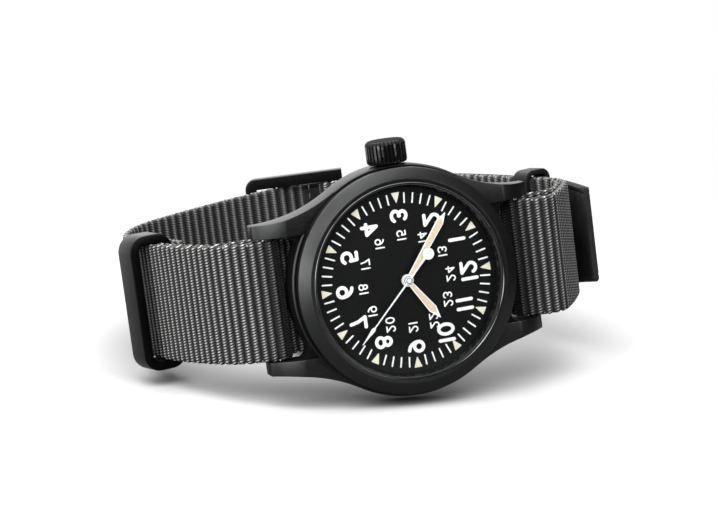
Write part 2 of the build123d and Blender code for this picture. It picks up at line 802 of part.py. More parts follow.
def hairspring():
    """Flat spiral spring under the cock, from the staff's collet to its stud."""
    start_r = arbor_r + 2 * hairspring_wire
    pitch = (hairspring_r - start_r) / hairspring_turns
    arcs = []
    radius = start_r
    here = Vector(radius, 0)
    for half in range(2 * hairspring_turns):
        side = 1 if half % 2 == 0 else -1
        target = here - Vector(side * (2 * radius + pitch / 2), 0)
        middle = (here + target) * 0.5 + Vector(0, side * (radius + pitch / 4))
        arcs.append(ThreePointArc(here, middle, target))
        here = target
        radius += pitch / 2
    band = trace(Wire(arcs), hairspring_wire)
    low_z = bridge_front_z + 2 * running_gap
    return Pos(balance_place[0], balance_place[1], low_z) * extrude(band, hairspring_wire * 2)


def cannon_pinion():
    """Cannon pinion, a friction fit on the centre tube, which carries the minute hand."""
    leaves = toothed_plate(cannon_leaves, cannon_pitch_r, motion_pocket_z + running_gap,
                           minute_wheel_z + wheel_t, (0, 0), motion_bearing)
    low_z = centre_wheel_z + wheel_t + running_gap
    tube = disc(cannon_tube_r, low_z, minute_z + hand_t)
    return leaves + tube - disc(centre_tube_r + seat_gap, low_z, minute_z + hand_t)


def minute_wheel():
    """Minute wheel of the motion work, with its pinion."""
    wheel = train_wheel(minute_teeth, minute_pitch_r, minute_wheel_z, motion_place, motion_bearing + 180 + 5)
    pinion = toothed_plate(minute_leaves, minute_pinion_r, minute_wheel_z, hour_wheel_z + wheel_t,
                           motion_place, motion_bearing + 180)
    pivot = disc(pivot_r, motion_pocket_z - pivot_length + running_gap, minute_wheel_z, motion_place)
    return wheel + pinion + pivot


def hour_wheel():
    """Hour wheel, whose tube turns on the cannon pinion and carries the hour hand."""
    wheel = toothed_plate(hour_teeth, hour_pitch_r, hour_wheel_z, hour_wheel_z + wheel_t,
                          (0, 0), motion_bearing, gap_first=True)
    tube = disc(hour_tube_r, hour_wheel_z, hour_z + hand_t)
    return wheel + tube - disc(cannon_tube_r + running_gap, hour_wheel_z, hour_z + hand_t)


def movement_ring():
    """Spacer ring between the movement and the case wall."""
    outer_r = cavity_r - running_gap
    ring = disc(outer_r, movement_back_z, -dial_t) - disc(movement_r + seat_gap, movement_back_z, -dial_t)
    return ring - across_rod(tube_r + running_gap, 0, case_r, 0, crown_z)


# Winding parts and case back

def crown_blank():
    """Turned crown: a straight wall, a small foot bevel and a low domed end."""
    top_y = crown_foot_y + crown_length
    shoulder_y = top_y - crown_dome
    edge_r = crown_r - crown_dome
    section = make_face([
        Line((0, crown_foot_y), (crown_r - case_bevel, crown_foot_y)),
        Line((crown_r - case_bevel, crown_foot_y), (crown_r, crown_foot_y + case_bevel)),
        Line((crown_r, crown_foot_y + case_bevel), (crown_r, shoulder_y)),
        Line((crown_r, shoulder_y), (edge_r, top_y)),
        Line((edge_r, top_y), (0, top_y)),
        Line((0, top_y), (0, crown_foot_y)),
    ])
    return Pos(0, 0, crown_z) * revolve(section, axis=Axis.Y)


def crown():
    """Fluted crown, hollowed for the case tube and its seal, and bored for the stem."""
    body = crown_blank()
    flute_end = crown_foot_y + crown_length - crown_dome / 2
    for index in range(crown_flutes):
        angle = radians(index * 360.0 / crown_flutes)
        x = crown_r * cos(angle)
        z = crown_z + crown_r * sin(angle)
        body -= across_rod(crown_flute_r, crown_foot_y - overrun, flute_end, x, z)
    body -= across_rod(crown_recess_r, crown_foot_y, crown_foot_y + crown_recess_depth, 0, crown_z)
    return body - across_rod(stem_r, crown_foot_y, crown_foot_y + stem_thread_length, 0, crown_z)


def winding_stem():
    """Winding stem, screwed into the crown."""
    return across_rod(stem_r, stem_end_y, crown_foot_y + stem_thread_length, 0, crown_z)


def winding_pinion():
    """Winding pinion on the stem."""
    points = []
    for index in range(2 * winding_leaves):
        radius = winding_r if index % 2 == 0 else winding_r * rim_share
        points.append(polar(radius, index * 180.0 / winding_leaves))
    blank = extrude(make_face(Polyline(*points, close=True)), winding_length)
    body = Pos(0, winding_y, crown_z) * Rot(X=-90) * blank
    return body - across_rod(stem_r, winding_y, winding_y + winding_length, 0, crown_z)


def crown_tube():
    """Tube pressed into the case wall, which guides the stem."""
    start_y = cavity_r - 2 * gasket_t
    body = across_rod(tube_r, start_y, case_r + tube_stand, 0, crown_z)
    return body - across_rod(tube_bore_r, start_y, case_r + tube_stand, 0, crown_z)


def crown_gasket():
    """Rubber seal inside the crown, which slides on the case tube."""
    start_y = crown_foot_y + running_gap
    body = across_rod(crown_recess_r - running_gap, start_y, start_y + crown_gasket_t, 0, crown_z)
    return body - across_rod(tube_r + running_gap, start_y, start_y + crown_gasket_t, 0, crown_z)


def case_back():
    """Screwed case back with a bevelled flange and six key notches."""
    spigot_r = back_bore_r - running_gap
    body = turned([
        (0, back_inner_z),
        (spigot_r - drum_wall * 2, back_inner_z),
        (spigot_r - drum_wall * 2, cavity_back_z - seat_gap),
        (spigot_r, cavity_back_z - seat_gap),
        (spigot_r, case_back_z - seat_gap),
        (back_flange_r, case_back_z - seat_gap),
        (back_flange_r, back_outer_z + back_bevel),
        (back_flange_r - back_bevel, back_outer_z),
        (0, back_outer_z),
    ])
    for index in range(back_notches):
        notch = Box(back_notch_depth * 2, back_notch_width, case_back_z - back_outer_z - back_bevel)
        low_z = (back_outer_z + case_back_z - back_bevel) / 2
        body -= Rot(Z=index * 360.0 / back_notches) * Pos(back_flange_r, 0, low_z) * notch
    return body


def case_back_gasket():
    """Flat rubber seal in the groove behind the case back's thread."""
    low_z = case_back_z
    high_z = case_back_z + back_gasket_depth - running_gap
    half = back_gasket_width / 2 - running_gap
    return disc(back_gasket_r + half, low_z, high_z) - disc(back_gasket_r - half, low_z, high_z)


def spring_bar(side):
    """Spring bar: a tube with two sprung tips in the lugs."""
    half = lug_gap / 2 - running_gap
    x = side * bar_x
    body = across_rod(bar_r, -half + bar_collar, half - bar_collar, x, bar_z)
    body += across_rod(bar_neck_r, -half, half, x, bar_z)
    tip_end = lug_gap / 2 + bar_tip_length - running_gap
    return body + across_rod(bar_tip_r, -tip_end, tip_end, x, bar_z)


# Strap

def loop_point(shares):
    """A point of the strap's plan, from its shares of the loop's half width and depth."""
    return (shares[0] * loop_half_width, bar_z - shares[1] * loop_depth)


def corner_radii(points):
    """For each corner of a route, the largest arc that its two runs allow."""
    radii = []
    for before, here, after in zip(points, points[1:], points[2:]):
        first = Vector(*here) - Vector(*before)
        second = Vector(*after) - Vector(*here)
        half_turn = radians(first.get_angle(second)) / 2
        radii.append(corner_run_share * min(first.length, second.length) / tan(half_turn))
    return radii


wrap_r = bar_r + bar_gap + strap_t / 2


def wrap_corner(side, exit_deg):
    """Corner of the route where the band turns over a spring bar, and leaves at an angle."""
    half_turn = radians(90.0 - exit_deg) / 2
    return (side * (bar_x - wrap_r), bar_z + wrap_r * tan(half_turn))


def under_corner(side):
    """Corner of the route where the band turns up between the case and a spring bar."""
    return (side * (bar_x - wrap_r), under_z)


under_z = back_outer_z - 3 * soft_gap - strap_t / 2


def right_points():
    """Corners of the long band's route from the buckle's heel bar to the 12 side's spring bar."""
    return [(heel_x, heel_z)] + [loop_point(shares) for shares in reversed(right_shares)]


def left_points():
    """Corners of the long band's route from the 6 side's spring bar to the tail's seam."""
    return [loop_point(shares) for shares in left_shares]


def long_route():
    """The long band's middle line: buckle, right side, under the case, left side, tail seam."""
    right = right_points()
    middle = [wrap_corner(1, right_rise_deg), under_corner(1)]
    middle += [under_corner(-1), wrap_corner(-1, -left_drop_deg)]
    points = right + middle + left_points()
    radii = corner_radii(points)
    first_wrap = len(right) - 1
    radii[first_wrap:first_wrap + len(middle)] = [wrap_r, under_r, under_r, wrap_r]
    return FilletPolyline(*points, radius=radii)


def beside(points, distance):
    """Corners of a route that runs beside another at a distance, to the right of its direction."""
    moved = []
    for before, here, after in zip(points, points[1:], points[2:]):
        first = (Vector(*here) - Vector(*before)).normalized()
        second = (Vector(*after) - Vector(*here)).normalized()
        half_turn = radians(first.get_angle(second)) / 2
        out = (Vector(first.Y, -first.X) + Vector(second.Y, -second.X)).normalized()
        corner = Vector(*here) + out * (distance / cos(half_turn))
        moved.append((corner.X, corner.Y))
    return moved


def route(points):
    """A smooth route of tangent arcs through a plan's points."""
    return FilletPolyline(*points, radius=corner_radii(points))


def band(path, thickness, width):
    """A flat band of even thickness that follows a route, level with the strap's middle."""
    return extrude(Plane.XZ * trace(path, thickness), width / 2, both=True)


def strap_long():
    """Long woven band, folded round the buckle's heel bar and threaded over both spring bars."""
    path = long_route()
    body = band(path, strap_t, strap_width)
    fold_r = heel_bar_r + soft_gap + strap_t
    fold = across_rod(fold_r, -strap_width / 2, strap_width / 2, heel_x, heel_z)
    body = body + fold
    body -= across_rod(heel_bar_r + soft_gap, -strap_width, strap_width, heel_x, heel_z)
    slot = tongue_width + 4 * soft_gap
    return body - Pos(heel_x, 0, heel_z) * Box(4 * fold_r, slot, 4 * fold_r) - tongue_slot()


def short_route():
    """The short band's middle line: inside the right side, under the case, round the ring's bar."""
    inside = -(strap_t / 2 + soft_gap + short_t / 2)
    bulge, *right = beside(right_points(), inside)[4:]
    start = (Vector(*bulge) + Vector(*right[0])) * 0.5
    left = beside(left_points(), inside)[:2]
    low_z = under_z - strap_t / 2 - soft_gap - short_t / 2
    under = [(under_half_width, low_z), (-under_half_width, low_z)]
    place = ring_place()
    turn_r = short_t / 2 + hook_gap + ring_wall / 2
    past = ring_length / 2 + turn_r + soft_gap
    corners = [(past, 0, -inside), (past, 0, 2 * turn_r - inside), (-ring_length, 0, 2 * turn_r - inside)]
    hook = [(place * Pos(*corner)).position for corner in corners]
    points = [(start.X, start.Y)] + right + under + left + [(corner.X, corner.Z) for corner in hook]
    radii = corner_radii(points)
    radii[-2:] = [turn_r - running_gap, turn_r - running_gap]
    return FilletPolyline(*points, radius=radii)


def strap_short():
    """Short woven band under the case, folded round the ring's inner bar."""
    return band(short_route(), short_t, strap_width)


def tail_route():
    """The leather tail's middle line: from its seam, through the buckle, to its free end."""
    band_route = long_route()
    seam = band_route @ 1 + (band_route % 1) * soft_gap
    outside = strap_t / 2 + soft_gap + leather_t / 2
    over = beside(right_points(), outside)[:5]
    return route([(seam.X, seam.Y), loop_point(tail_over_share)] + over + [loop_point(tail_tip_share)])


def strap_tail():
    """Leather tail with a row of holes and a tapered end."""
    path = tail_route()
    body = band(path, leather_t, strap_width)
    for index in range(tail_holes):
        spot = path.length - tail_first_hole - index * tail_hole_pitch
        body -= upright(path, spot) * Cylinder(tail_hole_r, 3 * leather_t)
    end = path @ 1
    along = path % 1
    for side in (-1, 1):
        corner = make_face(Polyline(
            (0, side * tail_end_width / 2),
            (-tail_taper_length, side * strap_width / 2),
            (0, side * strap_width),
            (overrun, side * strap_width),
            (overrun, side * tail_end_width / 2),
            close=True,
        ))
        plane = Plane(origin=(end.X, 0, end.Y), x_dir=(along.X, 0, along.Y), z_dir=(-along.Y, 0, along.X))
        body -= plane * extrude(corner, leather_t * 2, both=True)
    return body - tongue_slot()


def upright(path, spot):
    """A place on a route whose Z points square out of the band and whose Y is the strap's width."""
    here = path.position_at(spot, position_mode=PositionMode.LENGTH)
    along = path.tangent_at(spot, position_mode=PositionMode.LENGTH)
    plane = Plane(origin=(here.X, 0, here.Y), x_dir=(along.X, 0, along.Y), z_dir=(-along.Y, 0, along.X))
    return plane.location


def hoop(opening_t, opening_width, wall, length, corner_r):
    """A flat metal ring with rounded corners, whose X runs along the strap."""
    outer = RectangleRounded(opening_t + 2 * wall, opening_width + 2 * wall, corner_r + wall)
    inner = RectangleRounded(opening_t, opening_width, corner_r)
    face_on = Plane(origin=(0, 0, 0), x_dir=(0, 0, 1), z_dir=(1, 0, 0))
    return face_on * extrude(outer - inner, length / 2, both=True)


def ring_place():
    """Where the ring stands on the long band's left side."""
    path = long_route()
    return upright(path, path.length - ring_run)


def strap_ring():
    """Wide ring of the short band, through which the long band passes."""
    inner_t = strap_t / 2 + soft_gap + short_t + hook_gap
    outer_t = strap_t / 2 + ring_slack
    loop = hoop(inner_t + outer_t, ring_opening_width, ring_wall, ring_length, ring_corner_r)
    return ring_place() * Pos(0, 0, (inner_t - outer_t) / 2) * loop


def keeper(run):
    """A narrow keeper round the long band and the leather tail, at a distance from the heel bar."""
    place = upright(long_route(), run)
    opening_t = strap_t + soft_gap + leather_t + 2 * keeper_slack
    outward = -(soft_gap + leather_t) / 2
    loop = hoop(opening_t, keeper_opening_width, keeper_wall, keeper_length, keeper_corner_r)
    return place * Pos(0, 0, outward) * loop


def keeper_fixed():
    """Keeper sewn beside the buckle."""
    return keeper(keeper_fixed_run)


def keeper_loose():
    """Second keeper, which holds the end of the leather tail."""
    return keeper(keeper_loose_run)


def buckle_place():
    """The heel bar's place: X towards the buckle's far rail, Z out of the strap."""
    towards = (-cos(radians(buckle_tilt_deg)), 0, -sin(radians(buckle_tilt_deg)))
    return Plane(origin=(heel_x, 0, heel_z), x_dir=towards, z_dir=(-towards[2], 0, towards[0])).location


def buckle_frame():
    """Rounded steel frame, drilled at its heel for the bar."""
    length = buckle_reach + buckle_rail + heel_bar_r + buckle_rail
    middle = (buckle_reach + buckle_rail - heel_bar_r - buckle_rail) / 2
    plan = Pos(middle, 0) * RectangleRounded(length, buckle_width, buckle_corner_r)
    plan -= Pos(middle - buckle_rail, 0) * Rectangle(length, buckle_width - 2 * buckle_rail)
    body = extrude(plan, buckle_t / 2, both=True)
    body -= across_rod(heel_bar_r + running_gap, -buckle_width, buckle_width, 0, 0)
    return buckle_place() * body


def buckle_bar():
    """Heel bar, a steel pin through the fold of the long band."""
    half = buckle_width / 2 - seat_gap
    return buckle_place() * across_rod(heel_bar_r, -half, half, 0, 0)


def buckle_tongue():
    """Tongue on the heel bar, which passes through a hole of the tail onto the far rail."""
    collar = across_rod(tongue_collar_r, -tongue_width / 2, tongue_width / 2, 0, 0)
    end_x = buckle_reach + buckle_rail + tongue_lap
    low_z = buckle_t / 2 + running_gap
    blade = Pos(end_x / 2, 0, low_z + tongue_t / 2) * Box(end_x, tongue_width, tongue_t)
    body = collar + blade
    body -= across_rod(heel_bar_r + running_gap, -tongue_width, tongue_width, 0, 0)
    return buckle_place() * body


def tongue_slot():
    """Slit in the strap round the tongue, long enough for the tongue to lift."""
    width = tongue_width + 2 * soft_gap
    length = buckle_reach + tongue_collar_r
    middle = (buckle_reach - tongue_collar_r) / 2
    return buckle_place() * Pos(middle, 0, tongue_t) * Box(length, width, tongue_slit_height)


# The whole watch, laid down as it rests

strap_lift = Pos(0, 0, bar_z) * Rot(X=strap_lift_deg) * Pos(0, 0, -bar_z)
lying = Rot(X=-lean_deg) * Rot(Y=roll_deg) * Rot(X=90)

head_pieces = {
    "mid_case": mid_case(),
    "bezel": bezel(),
    "crystal": crystal(),
    "crystal_gasket": crystal_gasket(),
    "rehaut_ring": rehaut_ring(),
    "dial": dial(),
    "hour_hand": hour_hand(),
    "minute_hand": minute_hand(),
    "seconds_hand": seconds_hand(),
    "main_plate": main_plate(),
    "barrel_bridge": barrel_bridge(),
    "train_bridge": train_bridge(),
    "balance_cock": balance_cock(),
    "bridge_screws": bridge_screws(),
    "barrel_drum": barrel_drum(),
    "mainspring": mainspring(),
    "ratchet_wheel": ratchet_wheel(),
    "barrel_arbor": barrel_arbor(),
    "crown_wheel": crown_wheel(),
    "centre_wheel": centre_wheel(),
    "third_wheel": third_wheel(),
    "fourth_wheel": fourth_wheel(),
    "escape_wheel": escape_wheel(),
    "pallet_fork": pallet_fork(),
    "balance_wheel": balance_wheel(),
    "hairspring": hairspring(),
    "cannon_pinion": cannon_pinion(),
    "minute_wheel": minute_wheel(),
    "hour_wheel": hour_wheel(),
    "movement_ring": movement_ring(),
    "crown": crown(),
    "winding_stem": winding_stem(),
    "winding_pinion": winding_pinion(),
    "crown_tube": crown_tube(),
    "crown_gasket": crown_gasket(),
    "case_back": case_back(),
    "case_back_gasket": case_back_gasket(),
    "spring_bar_12": spring_bar(1),
    "spring_bar_6": spring_bar(-1),
}
strap_pieces = {
    "strap_long": strap_long(),
    "strap_short": strap_short(),
    "strap_tail": strap_tail(),
    "strap_ring": strap_ring(),
    "keeper_fixed": keeper_fixed(),
    "keeper_loose": keeper_loose(),
    "buckle_frame": buckle_frame(),
    "buckle_bar": buckle_bar(),
    "buckle_tongue": buckle_tongue(),
}

placed = {name: lying * piece for name, piece in head_pieces.items()}
placed.update({name: lying * strap_lift * piece for name, piece in strap_pieces.items()})

box = Compound(children=[Part() + piece for piece in placed.values()]).bounding_box()
stand = Pos(-box.center().X, -box.center().Y, -box.min.Z)

os.makedirs("parts", exist_ok=True)
for name, piece in placed.items():
    export_step(stand * piece, f"parts/{name}.step")
print("box", box.min, box.max)
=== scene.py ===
import json
import math

import bmesh
import bpy
from mathutils import Matrix, Vector


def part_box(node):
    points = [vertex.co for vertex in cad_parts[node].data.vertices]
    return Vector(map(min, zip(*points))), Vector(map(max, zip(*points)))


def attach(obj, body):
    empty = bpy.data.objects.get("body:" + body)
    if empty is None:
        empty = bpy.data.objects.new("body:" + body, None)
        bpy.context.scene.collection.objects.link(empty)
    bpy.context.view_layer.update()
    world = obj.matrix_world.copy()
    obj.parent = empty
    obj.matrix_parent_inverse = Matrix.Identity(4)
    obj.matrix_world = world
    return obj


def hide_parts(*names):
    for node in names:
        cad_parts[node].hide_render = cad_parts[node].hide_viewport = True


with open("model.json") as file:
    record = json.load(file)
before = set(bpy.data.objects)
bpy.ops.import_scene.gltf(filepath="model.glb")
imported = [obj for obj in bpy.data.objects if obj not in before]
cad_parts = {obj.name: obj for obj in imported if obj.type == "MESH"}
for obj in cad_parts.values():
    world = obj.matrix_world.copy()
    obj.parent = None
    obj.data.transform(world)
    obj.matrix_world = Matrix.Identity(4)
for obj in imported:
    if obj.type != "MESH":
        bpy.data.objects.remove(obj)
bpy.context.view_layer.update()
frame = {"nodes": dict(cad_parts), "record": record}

# The mid-case. The body of the watch, turned from steel with a groove under the bezel. Its four lugs
# leave the round in a hollow arc and curve down to blunt tips. It is coated satin black, with
# brushing along the flanks.

# Every piece is drawn on the bench in millimetres, with X to the numeral 12, Y to the crown and Z
# out of the dial. The head is then laid on its flank, by its crystal gasket's place in the frame.
millimetre = 0.001
lean = math.radians(7.75)
roll = math.radians(-5.9)
gasket_z = 1.7
tilted = Matrix.Rotation(-lean, 4, "X") @ Matrix.Rotation(roll, 4, "Y")
laid = tilted @ Matrix.Rotation(math.pi / 2, 4, "X") @ Matrix.Scale(millimetre, 4)
gasket_low, gasket_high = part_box("crystal_gasket")
gasket_middle = (Vector(gasket_low) + Vector(gasket_high)) / 2
stand = Matrix.Translation(gasket_middle - laid @ Vector((0, 0, gasket_z)))
head = stand @ laid


def mesh_of(name, verts, faces, merge=1e-4):
    """A closed mesh on the bench, with doubled corners merged and its faces outward."""
    mesh = bpy.data.meshes.new(name)
    mesh.from_pydata([tuple(v) for v in verts], [], faces)
    tidy = bmesh.new()
    tidy.from_mesh(mesh)
    bmesh.ops.remove_doubles(tidy, verts=tidy.verts, dist=merge)
    bmesh.ops.recalc_face_normals(tidy, faces=tidy.faces)
    tidy.to_mesh(mesh)
    tidy.free()
    return mesh


def new_object(name, data):
    """An object at the origin of the scene."""
    made = bpy.data.objects.new(name, data)
    bpy.context.scene.collection.objects.link(made)
    return made


def lay(mesh, place, material, body, stands_for, sharp=30.0):
    """Lays a bench mesh down with its body, with its bench coordinates kept for the material."""
    bench = mesh.attributes.new("bench", "FLOAT_VECTOR", "POINT")
    bench.data.foreach_set("vector", [c for v in mesh.vertices for c in v.co])
    mesh.transform(place)
    mesh.shade_smooth()
    mesh.set_sharp_from_angle(angle=math.radians(sharp))
    mesh.materials.clear()
    mesh.materials.append(material)
    made = new_object(mesh.name, mesh)
    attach(made, body)
    if stands_for:
        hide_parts(*stands_for)
    return made


def rounded(points, radius, steps=4, most_of_run=0.45, least=1e-3, straight=0.02):
    """A closed outline with each corner rounded, as far as its runs allow."""
    out = []
    for i, corner in enumerate(points):
        here = Vector(corner)
        before = Vector(points[i - 1]) - here
        after = Vector(points[(i + 1) % len(points)]) - here
        reach = radius[i] if isinstance(radius, (list, tuple)) else radius
        half = before.angle(after) / 2
        run = min(reach / math.tan(half) if half > least else 0,
                  most_of_run * before.length, most_of_run * after.length)
        if run < least or abs(half - math.pi / 2) < straight:
            out.append(tuple(here))
            continue
        start, end = here + before.normalized() * run, here + after.normalized() * run
        for k in range(steps + 1):
            t = k / steps
            out.append(tuple(start * (1 - t) ** 2 + here * 2 * t * (1 - t) + end * t ** 2))
    return out


def arc(centre, radii, start, end, steps=14):
    """Points of an arc from one angle to another, in degrees, both ends included."""
    angles = [math.radians(start + (end - start) * k / steps) for k in range(steps + 1)]
    return [(centre[0] + radii[0] * math.cos(a), centre[1] + radii[1] * math.sin(a)) for a in angles]


def loft(rings, closed=False):
    """Corners and faces of a skin over rings of equal count, with flat ends unless it closes."""
    count = len(rings[0])
    verts = [corner for ring in rings for corner in ring]
    faces = []
    for i in range(len(rings) if closed else len(rings) - 1):
        j = (i + 1) % len(rings)
        faces += [(i * count + k, j * count + k, j * count + (k + 1) % count, i * count + (k + 1) % count)
                  for k in range(count)]
    if not closed:
        last = (len(rings) - 1) * count
        faces += [tuple(range(count))[::-1], tuple(last + k for k in range(count))]
    return verts, faces


def lathe(profile, steps=240):
    """Corners and faces of a profile of radius and height turned about the dial's axis."""
    angles = [2 * math.pi * k / steps for k in range(steps)]
    return loft([[(r * math.cos(a), r * math.sin(a), z) for r, z in profile] for a in angles], True)


def together(parts):
    """Several sets of corners and faces as one."""
    verts, faces = [], []
    for more_verts, more_faces in parts:
        start = len(verts)
        verts += more_verts
        faces += [tuple(start + k for k in face) for face in more_faces]
    return verts, faces


case_r, bottom_z, edge_cut = 18.95, -5.5, 0.35
neck_r, neck_z, well_r = 17.0, 0.6, 15.6
back_r, back_step_z = 16.4, -3.9
rim_z, rim_low_z, rim_cut = -0.36, -0.62, 0.23
groove_r, groove_z, groove_flare = 18.42, -0.75, 0.04
body_outline = [(neck_r, neck_z), (well_r, neck_z), (well_r, back_step_z), (back_r, back_step_z),
                (back_r, bottom_z), (case_r - edge_cut, bottom_z), (case_r, bottom_z + edge_cut),
                (case_r, rim_low_z), (case_r - rim_cut, rim_z), (groove_r + groove_flare, rim_z),
                (groove_r, groove_z), (neck_r, groove_z)]

lug_inner_y, lug_waist_y, flank_r = 10.0, 12.3, 26.0
lug_tip_x, lug_tip_z, lug_tip_edge = 23.5, -4.4, 0.16
lug_crest_x, lug_bend_x, lug_bend_z = 18.4, 21.4, -1.925
lug_back_z, back_drop_x, back_drop = -5.45, 15.5, 1.4 / 7.5
lug_edges = [0.2, 0.3, 0.24, 0.15]
flank_centre_y = lug_waist_y + flank_r
flank_centre_x = math.sqrt((case_r + flank_r) ** 2 - flank_centre_y ** 2)
lug_start_x = flank_centre_x * case_r / (case_r + flank_r) + 0.05


def arc_height(x, first, middle, last):
    """Height at x of the upper arc through three points."""
    (x1, z1), (x2, z2), (x3, z3) = first, middle, last
    twice_area = 2 * (x1 * (z2 - z3) + x2 * (z3 - z1) + x3 * (z1 - z2))
    far1, far2, far3 = x1 * x1 + z1 * z1, x2 * x2 + z2 * z2, x3 * x3 + z3 * z3
    centre_x = (far1 * (z2 - z3) + far2 * (z3 - z1) + far3 * (z1 - z2)) / twice_area
    centre_z = (far1 * (x3 - x2) + far2 * (x1 - x3) + far3 * (x2 - x1)) / twice_area
    return centre_z + math.sqrt(max((x1 - centre_x) ** 2 + (z1 - centre_z) ** 2 - (x - centre_x) ** 2, 0.0))


def lug(x_side, y_side, steps=48):
    """One lug, as sections across its length from the case to its tip."""
    rings = []
    for k in range(steps + 1):
        x = lug_start_x + (lug_tip_x - lug_start_x) * k / steps
        outer_y = flank_centre_y - math.sqrt(flank_r ** 2 - (flank_centre_x - x) ** 2)
        back_z = lug_back_z - max(x - back_drop_x, 0.0) * back_drop
        top_z = rim_z
        if x > lug_crest_x:
            top_z = arc_height(x, (lug_crest_x, rim_z), (lug_bend_x, lug_bend_z), (lug_tip_x, lug_tip_z))
        inset = lug_tip_edge if k == steps else 0.0
        station = lug_tip_x - lug_tip_edge if k == steps - 1 else x
        corners = [(lug_inner_y + inset, back_z + inset), (outer_y - inset, back_z + inset),
                   (outer_y - inset, top_z - inset), (lug_inner_y + inset, top_z - inset)]
        rings.append([(x_side * station, y_side * y, z) for y, z in rounded(corners, lug_edges, 3)])
    return loft(rings)


root_x, root_y, root_r = 18.755, 8.4, 1.6
root_behind = [(16.6, 7.4), (15.9, 10.2), (root_x, 10.2)]
root_low_z, root_high_z = -5.3, -0.9


def lug_root(x_side, y_side):
    """The hollow fillet that joins a lug's inner face to the round body."""
    outline = arc((root_x, root_y), (root_r, root_r), 90, 204, 12) + root_behind
    return loft([[(x_side * x, y_side * y, z) for x, y in outline] for z in (root_low_z, root_high_z)])


case_parts = [lathe(rounded(body_outline, 0.08, 2))]
case_parts += [form(a, b) for form in (lug, lug_root) for a in (-1, 1) for b in (-1, 1)]
case_mesh = mesh_of("case_middle", *together(case_parts))


def fill(node, inputs):
    """Sets inputs of a node to values, or links them to other nodes."""
    for key, value in inputs.items():
        if isinstance(value, bpy.types.NodeSocket):
            node.id_data.links.new(value, node.inputs[key])
        else:
            node.inputs[key].default_value = value


def add(tree, kind, inputs=None, **settings):
    """A new node with its settings, and its inputs set or linked."""
    made = tree.nodes.new(kind)
    for key, value in settings.items():
        setattr(made, key, value)
    fill(made, inputs or {})
    return made


def ramp(tree, factor, stops):
    """A colour ramp on a factor, with grey or coloured stops."""
    made = add(tree, "ShaderNodeValToRGB", {"Fac": factor})
    elements = made.color_ramp.elements
    while len(elements) < len(stops):
        elements.new(0.5)
    for element, (place, colour) in zip(elements, stops):
        element.position = place
        element.color = (*((colour,) * 3 if isinstance(colour, float) else colour), 1)
    return made.outputs["Color"]


def number(tree, operation, first, second=0.0):
    """A sum on two values or sockets."""
    return add(tree, "ShaderNodeMath", {0: first, 1: second}, operation=operation).outputs[0]


def times(tree, colour, share):
    """A colour lowered by a share."""
    return add(tree, "ShaderNodeVectorMath", {0: colour, 1: share}, operation="MULTIPLY").outputs["Vector"]


def less(tree, whole, loss, mask):
    """A value that falls by a loss where the mask is one."""
    return number(tree, "SUBTRACT", whole, number(tree, "MULTIPLY", mask, loss))


def new_material(name):
    """A material with its tree and its main shader."""
    material = bpy.data.materials.new(name)
    material.use_nodes = True
    return material, material.node_tree, material.node_tree.nodes["Principled BSDF"]


def kept_point(tree, name="bench"):
    """A point that is kept on the piece, as X, Y and Z."""
    kept = add(tree, "ShaderNodeAttribute", attribute_name=name).outputs["Vector"]
    return add(tree, "ShaderNodeSeparateXYZ", {"Vector": kept}).outputs


def bench_point(tree, scale=(1, 1, 1)):
    """The piece's own bench coordinates, stretched."""
    here = add(tree, "ShaderNodeAttribute", attribute_name="bench").outputs["Vector"]
    return add(tree, "ShaderNodeMapping", {"Vector": here, "Scale": scale}).outputs["Vector"]


def noise(tree, where, scale, detail, roughness=0.5):
    """A soft random pattern."""
    made = add(tree, "ShaderNodeTexNoise",
               {"Vector": where, "Scale": scale, "Detail": detail, "Roughness": roughness})
    return made.outputs["Fac"]


def relief(tree, height, strength, depth):
    """A surface that rises and falls by a depth in millimetres."""
    made = add(tree, "ShaderNodeBump",
               {"Height": height, "Strength": strength, "Distance": depth * millimetre})
    return made.outputs["Normal"]


def finish_metal(tree, shader, colour, rough, where, scale, depth, metallic):
    """A satin metal whose tone, roughness and surface vary with fine brushing."""
    grain = noise(tree, where, scale, 4.0, 0.6)
    darker = tuple(c * 0.8 for c in colour)
    fill(shader, {"Base Color": ramp(tree, grain, [(0.3, darker), (0.7, colour)]),
                  "Roughness": ramp(tree, grain, [(0.3, rough[0]), (0.7, rough[1])]),
                  "Normal": relief(tree, grain, 0.3, depth), "Metallic": metallic})


# The flank between the lugs is toned down, as it stands in the deep shade of the strap.
shade_start_x, shade_margin, shade_loss, gloss_loss = 14.0, 0.02, 0.85, 0.45
case_metallic, plain_specular = 0.9, 0.5
case_black, tree, shader = new_material("case_satin_black")
finish_metal(tree, shader, (0.0225, 0.023, 0.0233), (0.32, 0.44), bench_point(tree, (0.15, 0.6, 1.4)),
             scale=9.0, depth=0.02, metallic=case_metallic)
here = kept_point(tree)
inside = number(tree, "LESS_THAN", number(tree, "ABSOLUTE", here["Y"]), lug_inner_y + shade_margin)
outward = number(tree, "GREATER_THAN", number(tree, "ABSOLUTE", here["X"]), shade_start_x)
below = number(tree, "LESS_THAN", here["Z"], rim_low_z)
between = number(tree, "MULTIPLY", number(tree, "MULTIPLY", inside, outward), below)
brushed = shader.inputs["Base Color"].links[0].from_socket
fill(shader, {"Base Color": times(tree, brushed, less(tree, 1.0, shade_loss, between)),
              "Metallic": less(tree, case_metallic, case_metallic, between),
              "Specular IOR Level": less(tree, plain_specular, gloss_loss, between)})
lay(case_mesh, head, case_black, "case", ["mid_case"], sharp=24)

